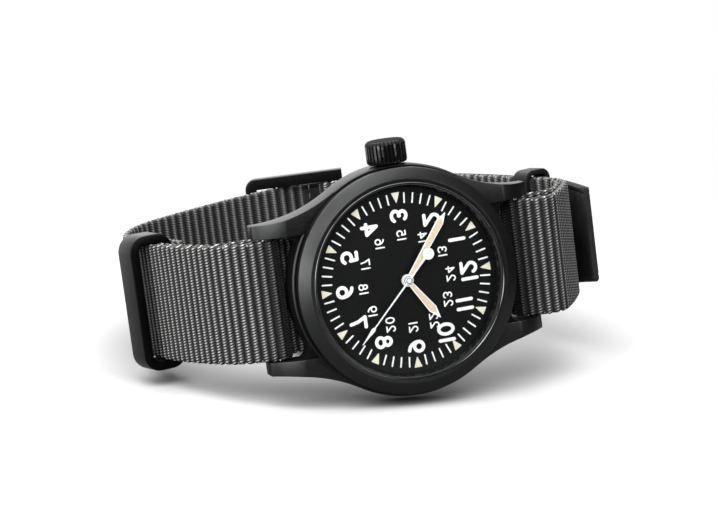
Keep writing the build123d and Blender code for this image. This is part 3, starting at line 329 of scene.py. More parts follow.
# The dial. A thin brass plate with a matt black coat, printed in white with the hours and, further
# in, small hours from 13 to 24. The numbers are mirror-written: a glyph reads towards the crown.
dial_r, dial_thick, dial_bore_r = 15.5, 0.4, 0.95
dial_outline = [(dial_bore_r, -dial_thick), (dial_r, -dial_thick), (dial_r, 0.0), (dial_bore_r, 0.0)]
dial_mesh = mesh_of("dial_plate", *lathe(dial_outline, 200))
dial_black, tree, shader = new_material("dial_matt_black")
speck = noise(tree, bench_point(tree), 14.0, 3.0)
fill(shader, {"Base Color": ramp(tree, speck, [(0.3, 0.004), (0.7, 0.0062)]),
              "Roughness": ramp(tree, speck, [(0.3, 0.55), (0.7, 0.65)]), "Specular IOR Level": 0.08})
lay(dial_mesh, head, dial_black, "case", ["dial"], sharp=30)

# Strokes of each digit, as lines in a box 1 high
digit_width = 0.7
strokes = {
    "0": [arc((0.35, 0.5), (0.35, 0.5), 0, 360, 36)],
    "1": [[(0.35, 0), (0.35, 1)]],
    "2": [arc((0.34, 0.68), (0.33, 0.32), 160, -25) + [(0.02, 0.0)], [(0.02, 0), (0.7, 0)]],
    "3": [arc((0.32, 0.75), (0.31, 0.25), 150, -90), arc((0.32, 0.27), (0.36, 0.27), 90, -155)],
    "4": [[(0.52, 0), (0.52, 1)], [(0.52, 1), (0.0, 0.3)], [(0.0, 0.3), (0.74, 0.3)]],
    "5": [[(0.64, 1), (0.14, 1)], [(0.14, 1), (0.1, 0.56)], arc((0.33, 0.32), (0.36, 0.32), 130, -150)],
    "6": [arc((0.35, 0.31), (0.34, 0.31), 0, 360, 36), arc((0.62, 0.34), (0.61, 0.66), 180, 96, 10)],
    "7": [[(0.0, 1), (0.7, 1)], [(0.7, 1), (0.42, 0.5), (0.3, 0.0)]],
    "8": [arc((0.35, 0.76), (0.27, 0.24), 0, 360, 32), arc((0.35, 0.27), (0.34, 0.27), 0, 360, 36)],
    "9": [arc((0.35, 0.69), (0.34, 0.31), 0, 360, 36), arc((0.08, 0.66), (0.61, 0.66), 0, -84, 10)],
}


def round_end(centre, edge, steps=8):
    """The half round from one edge of a stroke's end to the other."""
    spoke = edge - centre
    points = []
    for k in range(1, steps):
        cos, sin = math.cos(math.pi * k / steps), math.sin(math.pi * k / steps)
        points.append(centre + Vector((spoke.x * cos + spoke.y * sin, spoke.y * cos - spoke.x * sin)))
    return points


def ribbon(points, width, low_z, high_z):
    """A flat printed stroke through points, with round ends, or one that closes on itself."""
    closed = (Vector(points[0]) - Vector(points[-1])).length < 1e-6
    if closed:
        points = points[:-1]
    count = len(points)
    left, right = [], []
    for i, here in enumerate(points):
        before = Vector(points[i - 1]) if i or closed else Vector(here)
        after = Vector(points[(i + 1) % count]) if i + 1 < count or closed else Vector(here)
        along = (after - before).normalized()
        side = Vector((-along.y, along.x)) * width / 2
        left.append(Vector(here) + side)
        right.append(Vector(here) - side)
    if closed:
        rings = [[(*a, low_z), (*b, low_z), (*b, high_z), (*a, high_z)] for a, b in zip(left, right)]
        return loft(rings, True)
    first_end = round_end(Vector(points[0]), right[0])
    outline = left + round_end(Vector(points[-1]), left[-1]) + right[::-1] + first_end
    return loft([[(*p, low_z) for p in outline], [(*p, high_z) for p in outline]])


print_thick, stroke_step = 0.03, 0.002


def glyphs(text, centre, height, width, stroke, gap):
    """The strokes of a number, centred at a place of the dial, each a little above the last."""
    parts = []
    widths = [0.0 if digit == "1" else width for digit in text]
    cursor = centre[1] - (sum(widths) + gap * (len(text) - 1)) / 2
    for digit, wide in zip(text, widths):
        for line in strokes[digit]:
            points = [(centre[0] + (v - 0.5) * (height - stroke), cursor + u / digit_width * wide)
                      for u, v in line]
            parts.append(ribbon(points, stroke, 0.0, print_thick + stroke_step * len(parts)))
        cursor += wide + gap
    return parts


hours = {"12": (10.65, -0.17), "1": (9.3, 5.2), "2": (5.5, 9.1), "3": (0.1, 10.6), "4": (-5.1, 9.1),
         "5": (-9.0, 5.2), "6": (-10.5, -0.2), "7": (-9.0, -5.5), "8": (-5.2, -9.3), "9": (0.1, -11.0),
         "10": (5.45, -9.5), "11": (9.2, -5.5)}
inner_hours = {"24": (7.5, -0.2), "13": (6.6, 3.7), "14": (3.6, 6.5), "15": (0.1, 7.4), "16": (-3.7, 6.6),
               "17": (-6.5, 3.7), "18": (-7.4, -0.2), "19": (-6.4, -4.0), "20": (-3.7, -6.7),
               "21": (0.06, -7.8), "22": (3.7, -7.3), "23": (6.5, -4.2)}
printed = []
for text, centre in hours.items():
    printed += glyphs(text, centre, height=3.0, width=1.6, stroke=0.56, gap=1.45 if text == "11" else 1.0)
for text, centre in inner_hours.items():
    printed += glyphs(text, centre, height=1.6, width=0.85, stroke=0.23, gap=0.55)
print_white, tree, shader = new_material("printed_white")
speck = noise(tree, bench_point(tree), 6.0, 2.0)
fill(shader, {"Base Color": ramp(tree, speck, [(0.3, 0.86), (0.7, 0.93)]), "Roughness": 0.5})
lay(mesh_of("dial_hours", *together(printed)), head, print_white, "case", [], sharp=30)

# The minute track. White bars are printed on the dial between the hours, and the hours are marked by
# twelve triangles of thick cream luminous paint. One mark is drawn once and set round the dial.


def open_row(name, sizes):
    """A node tree that repeats one piece, with the piece, its sizes and its material as named inputs."""
    tree = bpy.data.node_groups.new(name, "GeometryNodeTree")
    for label, kind in {"Geometry": "Geometry", "Piece": "Object", **sizes, "Material": "Material"}.items():
        tree.interface.new_socket(label, in_out="INPUT", socket_type="NodeSocket" + kind)
    tree.interface.new_socket("Geometry", in_out="OUTPUT", socket_type="NodeSocketGeometry")
    return tree, tree.nodes.new("NodeGroupInput"), tree.nodes.new("NodeGroupOutput")


def close_row(tree, inlet, outlet, points, turn, numbered=False):
    """Sets the piece on the points, numbers the rows if asked, and makes them real and dressed."""
    piece = add(tree, "GeometryNodeObjectInfo", {"Object": inlet.outputs["Piece"]})
    rows = add(tree, "GeometryNodeInstanceOnPoints",
               {"Points": points, "Instance": piece.outputs["Geometry"], "Rotation": turn})
    if numbered:
        count = add(tree, "GeometryNodeInputIndex").outputs[0]
        rows = add(tree, "GeometryNodeStoreNamedAttribute",
                   {"Geometry": rows.outputs[0], "Name": "row", "Value": count},
                   data_type="FLOAT", domain="INSTANCE")
    real = add(tree, "GeometryNodeRealizeInstances", {"Geometry": rows.outputs[0]})
    dressed = add(tree, "GeometryNodeSetMaterial",
                  {"Geometry": real.outputs[0], "Material": inlet.outputs["Material"]})
    fill(outlet, {0: dressed.outputs[0]})
    return tree


def round_row_tree():
    """A node tree that sets one piece round an axis, and can leave out each nth place."""
    tree, inlet, outlet = open_row("round_row", {"Count": "Int", "Leave out each": "Int"})
    ring = add(tree, "GeometryNodeMeshCircle", {"Vertices": inlet.outputs["Count"], "Radius": 1.0})
    index = add(tree, "GeometryNodeInputIndex").outputs[0]
    rest = number(tree, "MODULO", index, inlet.outputs["Leave out each"])
    chosen = number(tree, "GREATER_THAN", inlet.outputs["Leave out each"], 0.5)
    drop = number(tree, "MULTIPLY", number(tree, "LESS_THAN", rest, 0.5), chosen)
    kept = add(tree, "GeometryNodeDeleteGeometry", {"Geometry": ring.outputs[0], "Selection": drop},
               domain="POINT")
    here = add(tree, "ShaderNodeSeparateXYZ", {0: add(tree, "GeometryNodeInputPosition").outputs[0]})
    angle = number(tree, "ARCTAN2", here.outputs["Y"], here.outputs["X"])
    turn = add(tree, "ShaderNodeCombineXYZ", {"Z": angle})
    held = add(tree, "GeometryNodeCaptureAttribute", {"Geometry": kept.outputs[0]})
    held.capture_items.new("VECTOR", "turn")
    tree.links.new(turn.outputs[0], held.inputs[1])
    axis = add(tree, "ShaderNodeCombineXYZ")
    still = add(tree, "GeometryNodeSetPosition", {"Geometry": held.outputs[0], "Position": axis.outputs[0]})
    return close_row(tree, inlet, outlet, still.outputs[0], held.outputs[1])


def plain_mesh(holder, name):
    """The plain mesh that an object's modifiers make, with the object taken away."""
    bpy.context.view_layer.update()
    evaluated = holder.evaluated_get(bpy.context.evaluated_depsgraph_get())
    mesh = bpy.data.meshes.new_from_object(evaluated)
    holder.modifiers.clear()
    bpy.data.objects.remove(holder)
    mesh.name = name
    return mesh


def grown(name, base, tree, piece_mesh, values):
    """The plain mesh that a node tree makes of a piece, on a base mesh."""
    piece = new_object(piece_mesh.name + "_pattern", piece_mesh)
    holder = new_object(name, base)
    modifier = holder.modifiers.new(name, "NODES")
    modifier.node_group = tree
    values = {"Piece": piece, **values}
    for item in tree.interface.items_tree:
        if item.in_out == "INPUT" and item.name in values:
            modifier[item.identifier] = values[item.name]
    mesh = plain_mesh(holder, name)
    bpy.data.objects.remove(piece)
    return mesh


round_row = round_row_tree()
empty_base = bpy.data.meshes.new("empty_base")
empty_base.from_pydata([(0, 0, 0)], [], [])

bar_from, bar_to, bar_width = 12.62, 14.13, 0.25
bar_mesh = mesh_of("minute_bar", *ribbon([(bar_from, 0.0), (bar_to, 0.0)], bar_width, 0.0, print_thick))
bars = grown("minute_bars", empty_base, round_row, bar_mesh,
             {"Count": 60, "Leave out each": 5, "Material": print_white})
lay(bars, head, print_white, "case", [], sharp=30)

mark_from, mark_to, mark_half, mark_thick = 12.55, 14.35, 0.69, 0.07
mark_outline = rounded([(mark_from, 0.0), (mark_to, mark_half), (mark_to, -mark_half)], 0.08, 2)
mark_mesh = mesh_of("hour_mark", *loft([[(*p, z) for p in mark_outline] for z in (0.0, mark_thick)]))
lume_cream, tree, shader = new_material("luminous_cream")
speck = noise(tree, bench_point(tree), 5.0, 4.0)
fill(shader, {"Base Color": ramp(tree, speck, [(0.3, (0.72, 0.69, 0.53)), (0.7, (0.8, 0.77, 0.62))]),
              "Roughness": 0.8})
marks = grown("hour_marks", empty_base, round_row, mark_mesh,
              {"Count": 12, "Leave out each": 0, "Material": lume_cream})
lay(marks, head, lume_cream, "case", [], sharp=30)

# The hands. Hours and minutes are light metal frames with a cream luminous filling, pressed on their
# pipes one above the other. The thin seconds hand has an arrow and a round counterweight, and
# carries a domed cap between two steel rings.


def plate(outline, low_z, high_z, bevel=0.04):
    """A flat piece with slightly bevelled upper edges."""
    count = len(outline)
    inner = []
    for i, here in enumerate(outline):
        along = (Vector(outline[(i + 1) % count]) - Vector(outline[i - 1])).normalized()
        inner.append(Vector(here) + Vector((-along.y, along.x)) * bevel)
    area = sum(outline[i - 1][0] * outline[i][1] - outline[i][0] * outline[i - 1][1] for i in range(count))
    if area < 0:
        inner = [Vector(here) * 2 - moved for here, moved in zip(outline, inner)]
    levels = [(outline, low_z), (outline, high_z - bevel), (inner, high_z)]
    return loft([[(*p, z) for p in edge] for edge, z in levels])


def baton(length, shoulder, width, waist, hub_r, tip=0.06):
    """Outline of a hand with a hub, a body that widens to its shoulder, and a point."""
    spread = math.degrees(math.asin(waist / 2 / hub_r))
    hub = arc((0, 0), (hub_r, hub_r), spread, 360 - spread, 40)
    return hub + [(shoulder, -width / 2), (length, -tip), (length, tip), (shoulder, width / 2)]


def filling(length, shoulder, width, waist, hub_r, rim, tip=0.05, tip_share=0.55):
    """Outline of the luminous filling inside a baton."""
    start = hub_r + rim
    half = waist / 2 - rim + (width - waist) / 2 * rim / (shoulder - hub_r)
    end = length - tip_share * (length - shoulder)
    return [(start, -half), (shoulder, rim - width / 2), (end, -tip), (end, tip),
            (shoulder, width / 2 - rim), (start, half)]


hand_light, tree, shader = new_material("hand_light_metal")
sheen = noise(tree, bench_point(tree), 8.0, 3.0)
fill(shader, {"Base Color": ramp(tree, sheen, [(0.3, 0.93), (0.7, 0.98)]),
              "Roughness": ramp(tree, sheen, [(0.3, 0.3), (0.7, 0.4)])})
hand_lume, tree, shader = new_material("hand_luminous")
speck = noise(tree, bench_point(tree), 3.0, 5.0)
fill(shader, {"Base Color": ramp(tree, speck, [(0.3, (0.6, 0.475, 0.33)), (0.7, (0.74, 0.62, 0.43))]),
              "Roughness": 0.75})

# Each hand's angle and height, then its length, shoulder, width, waist and hub radius
batons = {"hour": (304.3, 0.42, (8.3, 6.4, 1.4, 0.8, 1.0)),
          "minute": (52.5, 0.8, (12.5, 10.8, 1.25, 0.9, 0.88))}
hand_thick, lume_sunk, lume_proud, lume_rim = 0.2, 0.05, 0.035, 0.13
for name, (angle, low_z, sizes) in batons.items():
    turned = Matrix.Rotation(math.radians(angle), 4, "Z")
    top_z = low_z + hand_thick
    frame_mesh = mesh_of(name + "_hand_frame", *plate(baton(*sizes), low_z, top_z))
    frame_mesh.transform(turned)
    lay(frame_mesh, head, hand_light, name, [name + "_hand"], sharp=20)
    lume_outline = filling(*sizes, lume_rim)
    lume_mesh = mesh_of(name + "_hand_lume", *plate(lume_outline, low_z + lume_sunk, top_z + lume_proud))
    lume_mesh.transform(turned)
    lay(lume_mesh, head, hand_lume, name, [], sharp=20)

seconds_turn = Matrix.Rotation(math.radians(224.7), 4, "Z")
one_edge = [(0.0, -0.13), (9.3, -0.09), (9.8, -0.32), (11.5, -0.12), (12.8, -0.045)]
shank_x, shank_half = -4.6, 0.13
seconds_outline = one_edge + [(x, -y) for x, y in reversed(one_edge)]
seconds_outline += [(shank_x, shank_half), (shank_x, -shank_half)]
disc_x, disc_r, hub_r = -5.4, 0.95, 0.62
disc_outline = arc((disc_x, 0), (disc_r, disc_r), 0, 360, 40)[:-1]
hub_outline = arc((0, 0), (hub_r, hub_r), 0, 360, 40)[:-1]
cap_profile = [(0.0, 1.38), (0.36, 1.38), (0.36, 1.5), (0.27, 1.57), (0.0, 1.6)]
seconds_low, seconds_high, hub_high, face_step = 1.15, 1.35, 1.4, 0.001
seconds_parts = [plate(seconds_outline, seconds_low, seconds_high),
                 plate(disc_outline, seconds_low + face_step, seconds_high + 2 * face_step),
                 plate(hub_outline, seconds_low + 2 * face_step, hub_high, 0.08), lathe(cap_profile, 40)]
seconds_mesh = mesh_of("seconds_hand_light", *together(seconds_parts))
seconds_mesh.transform(seconds_turn)
lay(seconds_mesh, head, hand_light, "seconds", ["seconds_hand"], sharp=25)

# Inner and outer radius, foot and top of the two steel rings
cap_parts = []
for inner_r, outer_r, foot_z, top_z in ((0.37, 0.5, 1.38, 1.46), (0.6, 0.74, 1.06, 1.12)):
    ring_outline = [(inner_r, foot_z), (outer_r, foot_z), (outer_r, top_z), (inner_r, top_z)]
    cap_parts.append(lathe(rounded(ring_outline, 0.02, 2), 48))
cap_mesh = mesh_of("seconds_cap_ring", *together(cap_parts))
cap_steel, tree, shader = new_material("hand_cap_steel")
finish_metal(tree, shader, (0.22, 0.22, 0.225), (0.3, 0.4), bench_point(tree),
             scale=8.0, depth=0.004, metallic=0.6)
lay(cap_mesh, head, cap_steel, "seconds", [], sharp=30)

arrow_outline = [(9.95, -0.15), (11.2, -0.05), (11.2, 0.05), (9.95, 0.15)]
arrow_mesh = mesh_of("seconds_arrow_lume", *plate(arrow_outline, 1.2, 1.37, 0.02))
arrow_mesh.transform(seconds_turn)
lay(arrow_mesh, head, lume_cream, "seconds", [], sharp=25)

# The rehaut. A ring of glossy black plastic that is held between the dial and the crystal. It slopes
# outward from the dial and mirrors the minute marks a little.
rehaut_outline = [(15.08, 0.02), (15.72, 0.02), (15.72, 1.38), (15.5, 1.38)]
rehaut_mesh = mesh_of("rehaut", *lathe(rounded(rehaut_outline, 0.04, 3), 320))
rehaut_black, tree, shader = new_material("rehaut_gloss_black")
finish_metal(tree, shader, (0.008, 0.008, 0.0085), (0.2, 0.26), bench_point(tree),
             scale=2.0, depth=0.002, metallic=0.0)
fill(shader, {"Specular IOR Level": 0.25})
lay(rehaut_mesh, head, rehaut_black, "case", ["rehaut_ring"], sharp=30)

# The crystal. A thin domed glass, pressed into the neck of the case with its gasket. Its coating
# leaves only a soft reflection on the dome, and the edge under the bezel has none.
crystal_r, crystal_rise, crystal_edge_z, crystal_thick, clear_edge = 15.55, 0.6, 2.5, 1.1, 0.15
dome_r = (crystal_r ** 2 + crystal_rise ** 2) / (2 * crystal_rise)
dome_steps = 16
outer_dome = []
for k in range(dome_steps + 1):
    r = crystal_r * k / dome_steps
    outer_dome.append((r, crystal_edge_z + crystal_rise - (dome_r - math.sqrt(dome_r ** 2 - r * r))))
inner_dome = [(r, z - crystal_thick) for r, z in reversed(outer_dome)]
crystal_mesh = mesh_of("crystal_dome", *lathe(outer_dome + inner_dome, 160))


def square_sum(tree, here):
    """The square of a point's distance from the dial's axis."""
    return number(tree, "ADD", number(tree, "POWER", here["X"], 2.0), number(tree, "POWER", here["Y"], 2.0))


crystal_clear, tree, shader = new_material("crystal_coated_glass")
weight = add(tree, "ShaderNodeFresnel", {"IOR": 1.18}).outputs["Fac"]
on_dome = number(tree, "LESS_THAN", square_sum(tree, kept_point(tree)), (crystal_r - clear_edge) ** 2)
smear = noise(tree, bench_point(tree), 0.25, 2.0)
gloss = add(tree, "ShaderNodeBsdfGlossy", {"Color": (0.9, 0.94, 1.0, 1),
                                           "Roughness": ramp(tree, smear, [(0.3, 0.015), (0.7, 0.03)])})
clear = add(tree, "ShaderNodeBsdfTransparent", {"Color": (0.985, 0.99, 0.99, 1)})
mixed = add(tree, "ShaderNodeMixShader", {0: number(tree, "MULTIPLY", weight, on_dome),
                                          1: clear.outputs["BSDF"], 2: gloss.outputs["BSDF"]})
fill(tree.nodes["Material Output"], {"Surface": mixed.outputs["Shader"]})
tree.nodes.remove(shader)
lay(crystal_mesh, head, crystal_clear, "case", ["crystal"], sharp=30)

# The bezel. A steel ring pressed over the neck of the case, coated black, with a low wall and a wide
# sloping face with circular brushing. A thin polished lip runs where it meets the crystal.
bezel_bore_r, bezel_seat_r, bezel_outer_r = 15.81, 17.05, 18.4
bezel_foot_z, bezel_seat_z, wall_top_z = -0.3, 0.75, 1.2
bezel_outline = [(bezel_seat_r, bezel_foot_z), (bezel_outer_r, bezel_foot_z), (bezel_outer_r, wall_top_z),
                 (16.55, 2.28), (15.98, 2.22), (bezel_bore_r, 2.02), (bezel_bore_r, bezel_seat_z),
                 (bezel_seat_r, bezel_seat_z)]
bezel_edges = [0.05, 0.14, 0.22, 0.16, 0.06, 0.05, 0.05, 0.05]
bezel_mesh = mesh_of("bezel_ring", *lathe(rounded(bezel_outline, bezel_edges, 5), 320))


def around_axis(tree, turns, radial, height):
    """Coordinates round the dial's axis: angle, radius and height, each stretched."""
    here = kept_point(tree)
    angle = number(tree, "MULTIPLY", number(tree, "ARCTAN2", here["Y"], here["X"]), turns)
    radius = number(tree, "MULTIPLY", number(tree, "SQRT", square_sum(tree, here)), radial)
    level = number(tree, "MULTIPLY", here["Z"], height)
    return add(tree, "ShaderNodeCombineXYZ", {"X": angle, "Y": radius, "Z": level}).outputs["Vector"]


bezel_black, tree, shader = new_material("bezel_brushed_black")
finish_metal(tree, shader, (0.0265, 0.027, 0.0273), (0.28, 0.38), around_axis(tree, 2.5, 9.0, 9.0),
             scale=4.0, depth=0.03, metallic=0.9)
lay(bezel_mesh, head, bezel_black, "case", ["bezel"], sharp=24)

lip_outline = [(15.68, 1.95), (15.86, 1.95), (15.98, 2.26), (15.88, 2.34), (15.72, 2.25)]
lip_mesh = mesh_of("bezel_lip", *lathe(rounded(lip_outline, 0.06, 4), 320))
lip_bright, tree, shader = new_material("lip_polished")
finish_metal(tree, shader, (0.085, 0.085, 0.09), (0.12, 0.2), around_axis(tree, 1.0, 4.0, 4.0),
             scale=3.0, depth=0.005, metallic=1.0)
lay(lip_mesh, head, lip_bright, "case", [], sharp=60)

# The crown. A knurled steel button on the end of the winding stem, coated black. One flute of its
# wall is drawn as a narrow wedge and set round thirty times; the end is a plain low dome.
flutes, flute_depth, flute_sharpness, wedge_steps = 30, 0.3, 0.8, 8
crown_r, crown_bore_r, crown_foot_y, crown_end, stem_z = 3.3, 1.2, 19.2, 3.8, -2.0
skirt = -0.17
# Radius, height over the foot and share of the flute's depth, from the skirt to the middle of the end
wall = [(crown_bore_r, skirt, 0.0), (2.95, skirt, 0.0), (3.16, -0.02, 0.4), (crown_r, 0.32, 1.0),
        (crown_r, 1.2, 1.0), (crown_r, 2.2, 1.0), (crown_r, 2.95, 1.0), (3.2, 3.25, 0.8), (3.02, 3.5, 0.35),
        (2.78, 3.66, 0.05), (2.4, 3.76, 0.0), (1.2, crown_end, 0.0), (0.0, crown_end, 0.0)]
wedge_verts, wedge_faces = [], []
for step in range(wedge_steps + 1):
    share = step / wedge_steps - 0.5
    angle = share * 2 * math.pi / flutes
    groove = max(0.0, math.cos(share * 2 * math.pi)) ** flute_sharpness * flute_depth
    for r, up, depth in wall:
        radius = r - groove * depth
        wedge_verts.append((radius * math.cos(angle), radius * math.sin(angle), up))
for step in range(wedge_steps):
    for k in range(len(wall) - 1):
        a, b = step * len(wall) + k, (step + 1) * len(wall) + k
        wedge_faces.append((a, b, b + 1, a + 1))
wedge_mesh = bpy.data.meshes.new("crown_flute")
wedge_mesh.from_pydata(wedge_verts, [], wedge_faces)

end_from, rim_up, rim_half, crown_metallic = 3.0, 3.46, 0.04, 0.85
crown_black, tree, shader = new_material("crown_satin_black")
finish_metal(tree, shader, (0.018, 0.018, 0.0185), (0.16, 0.24), bench_point(tree, (1, 0.3, 1)),
             scale=8.0, depth=0.01, metallic=crown_metallic)
here = kept_point(tree)
from_rim = number(tree, "ABSOLUTE", number(tree, "SUBTRACT", here["Y"], crown_foot_y + rim_up))
off_rim = number(tree, "GREATER_THAN", from_rim, rim_half)
end_face = number(tree, "MULTIPLY", off_rim, number(tree, "GREATER_THAN", here["Y"], crown_foot_y + end_from))
fill(shader, {"Metallic": less(tree, crown_metallic, crown_metallic, end_face),
              "Specular IOR Level": less(tree, plain_specular, plain_specular, end_face)})


def plain_parts(mesh):
    """A mesh's corners and faces as plain lists."""
    return [tuple(v.co) for v in mesh.vertices], [tuple(p.vertices) for p in mesh.polygons]


crown_ring = grown("crown_knurled", empty_base, round_row, wedge_mesh,
                   {"Count": flutes, "Leave out each": 0, "Material": crown_black})
foot_count = flutes * wedge_steps
foot_turns = [2 * math.pi * (k / wedge_steps - 0.5) / flutes for k in range(foot_count)]
foot_verts = [(crown_bore_r * math.cos(t), crown_bore_r * math.sin(t), skirt) for t in foot_turns]
crown_parts = together([plain_parts(crown_ring), (foot_verts, [tuple(range(foot_count))])])
crown_mesh = mesh_of("crown_fluted", *crown_parts)
crown_mesh.transform(Matrix.Translation((0, crown_foot_y, stem_z)) @ Matrix.Rotation(-math.pi / 2, 4, "X"))
lay(crown_mesh, head, crown_black, "crown", ["crown"], sharp=40)

# The strap's route. The strap is one loop that passes behind the case and round both spring bars. It
# is drawn in the plane across the wrist, X to the 12 and the second number out of the dial, as
# straight runs joined by tangent arcs.
lift, bar_z = math.radians(1.7), -4.9
strap = head @ Matrix.Translation((0, 0, bar_z)) @ Matrix.Rotation(lift, 4, "X")
strap = strap @ Matrix.Translation((0, 0, -bar_z))


def evenly(dense, step):
    """Points at an even step along a polyline, both ends included."""
    lengths = [0.0]
    for a, b in zip(dense, dense[1:]):
        lengths.append(lengths[-1] + (b - a).length)
    count = max(2, round(lengths[-1] / step))
    out, k = [], 0
    for i in range(count + 1):
        want = lengths[-1] * i / count
        while k < len(dense) - 2 and lengths[k + 1] < want:
            k += 1
        span = lengths[k + 1] - lengths[k]
        out.append(dense[k].lerp(dense[k + 1], (want - lengths[k]) / span if span > 1e-9 else 0.0))
    return out


def filleted(points, radii=None, step=0.3, most_of_run=0.48):
    """Even points along a route of straight runs and arcs, with given radii or as wide as they fit."""
    points = [Vector(p) for p in points]
    dense = [points[0]]
    for i in range(1, len(points) - 1):
        first, second = points[i] - points[i - 1], points[i + 1] - points[i]
        turn = math.atan2(first.x * second.y - first.y * second.x, first.dot(second))
        half = abs(turn) / 2
        widest = most_of_run * min(first.length, second.length) / math.tan(half)
        radius = (radii or {}).get(i, widest)
        start = points[i] - first.normalized() * (radius * math.tan(half))
        side = Vector((-first.y, first.x)).normalized() * (1 if turn > 0 else -1)
        centre = start + side * radius
        spoke = start - centre
        count = max(3, int(abs(turn) * radius / step) + 1)
        for k in range(count + 1):
            cos, sin = math.cos(turn * k / count), math.sin(turn * k / count)
            dense.append(centre + Vector((spoke.x * cos - spoke.y * sin, spoke.x * sin + spoke.y * cos)))
    return evenly(dense + [points[-1]], step)


def tangents(route):
    """The direction at each point of a route."""
    ends = [(max(i - 1, 0), min(i + 1, len(route) - 1)) for i in range(len(route))]
    return [(route[after] - route[before]).normalized() for before, after in ends]


def length_of(route):
    """The length of a route."""
    return sum((b - a).length for a, b in zip(route, route[1:]))


def beside(points, distance):
    """Corners of a route beside another, to the right of its direction."""
    moved = []
    for before, here, after in zip(points, points[1:], points[2:]):
        first = (Vector(here) - Vector(before)).normalized()
        second = (Vector(after) - Vector(here)).normalized()
        out = (Vector((first.y, -first.x)) + Vector((second.y, -second.x))).normalized()
        moved.append(tuple(Vector(here) + out * distance / math.cos(first.angle(second) / 2)))
    return moved


loop_half, loop_depth = 36.5, 70.0


def on_loop(side_share, depth_share):
    """A point of the strap's loop from its shares of the half width and the depth."""
    return (side_share * loop_half, bar_z - depth_share * loop_depth)


heel = (7.6, -69.5)
right_shares = [(0.47, 0.83), (0.67, 0.68), (0.8, 0.5), (0.88, 0.33), (0.965, 0.24), (0.95, 0.15),
                (0.835, 0.035), (0.705, -0.07)]
left_shares = [(-0.707, -0.014), (-0.827, 0.049), (-0.959, 0.173), (-1.047, 0.33), (-1.041, 0.501),
               (-0.904, 0.666), (-0.616, 0.787), (-0.329, 0.891), (-0.08, 0.955), (0.07, 0.975)]
right_side = [heel] + [on_loop(*p) for p in right_shares]
left_side = [on_loop(*p) for p in left_shares]
wrap_r, bar_x, under_z, under_r = 1.71, 21.35, -7.25, 1.5
wrap_x = bar_x - wrap_r
right_climb, left_climb = math.radians(27.5), math.radians(47.5)
under_case = [(wrap_x, bar_z + wrap_r * math.tan(right_climb)), (wrap_x, under_z), (-wrap_x, under_z),
              (-wrap_x, bar_z + wrap_r * math.tan(left_climb))]
first_wrap = len(right_side)
long_radii = {first_wrap: wrap_r, first_wrap + 1: under_r, first_wrap + 2: under_r, first_wrap + 3: wrap_r}
long_route = filleted(right_side + under_case + left_side, long_radii)


def place_on(route, distance):
    """A place at a distance along a route: X along it, Y across the strap, Z towards the wrist."""
    walked = 0.0
    for a, b in zip(route, route[1:]):
        walked += (b - a).length
        if walked >= distance:
            break
    along = (b - a).normalized()
    place = Matrix.Identity(4)
    place.col[0] = (along.x, 0, along.y, 0)
    place.col[1] = (0, 1, 0, 0)
    place.col[2] = (-along.y, 0, along.x, 0)
    place.col[3] = (b.x, 0, b.y, 1)
    return place


def swept(route, section):
    """Rings along a route from a section of corners, towards the wrist and across, at each distance."""
    rings, walked = [], 0.0
    total = length_of(route)
    for i, (here, along) in enumerate(zip(route, tangents(route))):
        walked += (here - route[i - 1]).length if i else 0.0
        rings.append([(here.x - along.y * off, across, here.y + along.x * off)
                      for off, across in section(walked, total)])
    return rings


# The woven band. It is woven nylon, grey with a black core. Across it runs one round rib for each
# thick weft thread, with the warp threads bound over it: dots on the outer face, pale with painted sheen
# and brightest as a painted highlight on each rib's crest, and plain and darker on the wrist's side, with
# painted highlight on the ridges and painted shade in the valleys. The band is sewn round the buckle's bar in
# a fold.


def row_along_tree():
    """A node tree that sets one piece at an even pitch along a route and numbers the rows."""
    tree, inlet, outlet = open_row("row_along", {"Pitch": "Float"})
    curve = add(tree, "GeometryNodeMeshToCurve", {"Mesh": inlet.outputs["Geometry"]})
    even = add(tree, "GeometryNodeResampleCurve",
               {"Curve": curve.outputs[0], "Length": inlet.outputs["Pitch"]}, mode="LENGTH")
    along = add(tree, "ShaderNodeSeparateXYZ", {0: add(tree, "GeometryNodeInputTangent").outputs[0]}).outputs
    angle = number(tree, "ARCTAN2", number(tree, "MULTIPLY", along["Z"], -1.0), along["X"])
    turn = add(tree, "ShaderNodeCombineXYZ", {"Y": angle})
    return close_row(tree, inlet, outlet, even.outputs[0], turn.outputs[0], numbered=True)


def rail(points):
    """A line mesh on the bench through points of the plane across the wrist."""
    mesh = bpy.data.meshes.new("rail")
    mesh.from_pydata([(x, 0.0, z) for x, z in points], [(i, i + 1) for i in range(len(points) - 1)], [])
    return mesh


rib_ends = [(0.0, 0.35), (0.08, 0.62), (0.25, 0.85), (0.5, 0.97)]
rib_straight_from, rib_overlap = 0.8, 0.52


def rib(width, low_z, high_z, pitch, around=12, stations=24):
    """One weft rib with its ends rounded, and its own coordinates kept for the weave."""
    half, middle_z, rise = width / 2, (low_z + high_z) / 2, (high_z - low_z) / 2
    straight = width - 2 * rib_straight_from
    places = [(-half + inset, slim) for inset, slim in rib_ends]
    places += [(-half + rib_straight_from + straight * k / stations, 1.0) for k in range(stations + 1)]
    places += [(half - inset, slim) for inset, slim in reversed(rib_ends)]
    rings = []
    for across, slim in places:
        edge = arc((0, middle_z), (rib_overlap * pitch * slim, rise * slim), 0, 360, around)[:-1]
        rings.append([(x, across, z) for x, z in edge])
    mesh = mesh_of("weft_rib", *loft(rings))
    mesh.shade_smooth()
    weave = mesh.attributes.new("weave", "FLOAT_VECTOR", "POINT")
    weave.data.foreach_set("vector", [c for v in mesh.vertices for c in v.co])
    return mesh


# The warp's dots: their pitch across the band, their slant over a rib and their stagger by rows, and how
# fast the painted highlight on a rib's crest and the dots' painted sheen fade down the rib's sides
warp_pitch, warp_slant, warp_stagger = 0.46, 0.55, 0.5
crest_slope, crest_power, dot_power, fibre_share = 1.4, 1.5, 1.8, 0.2
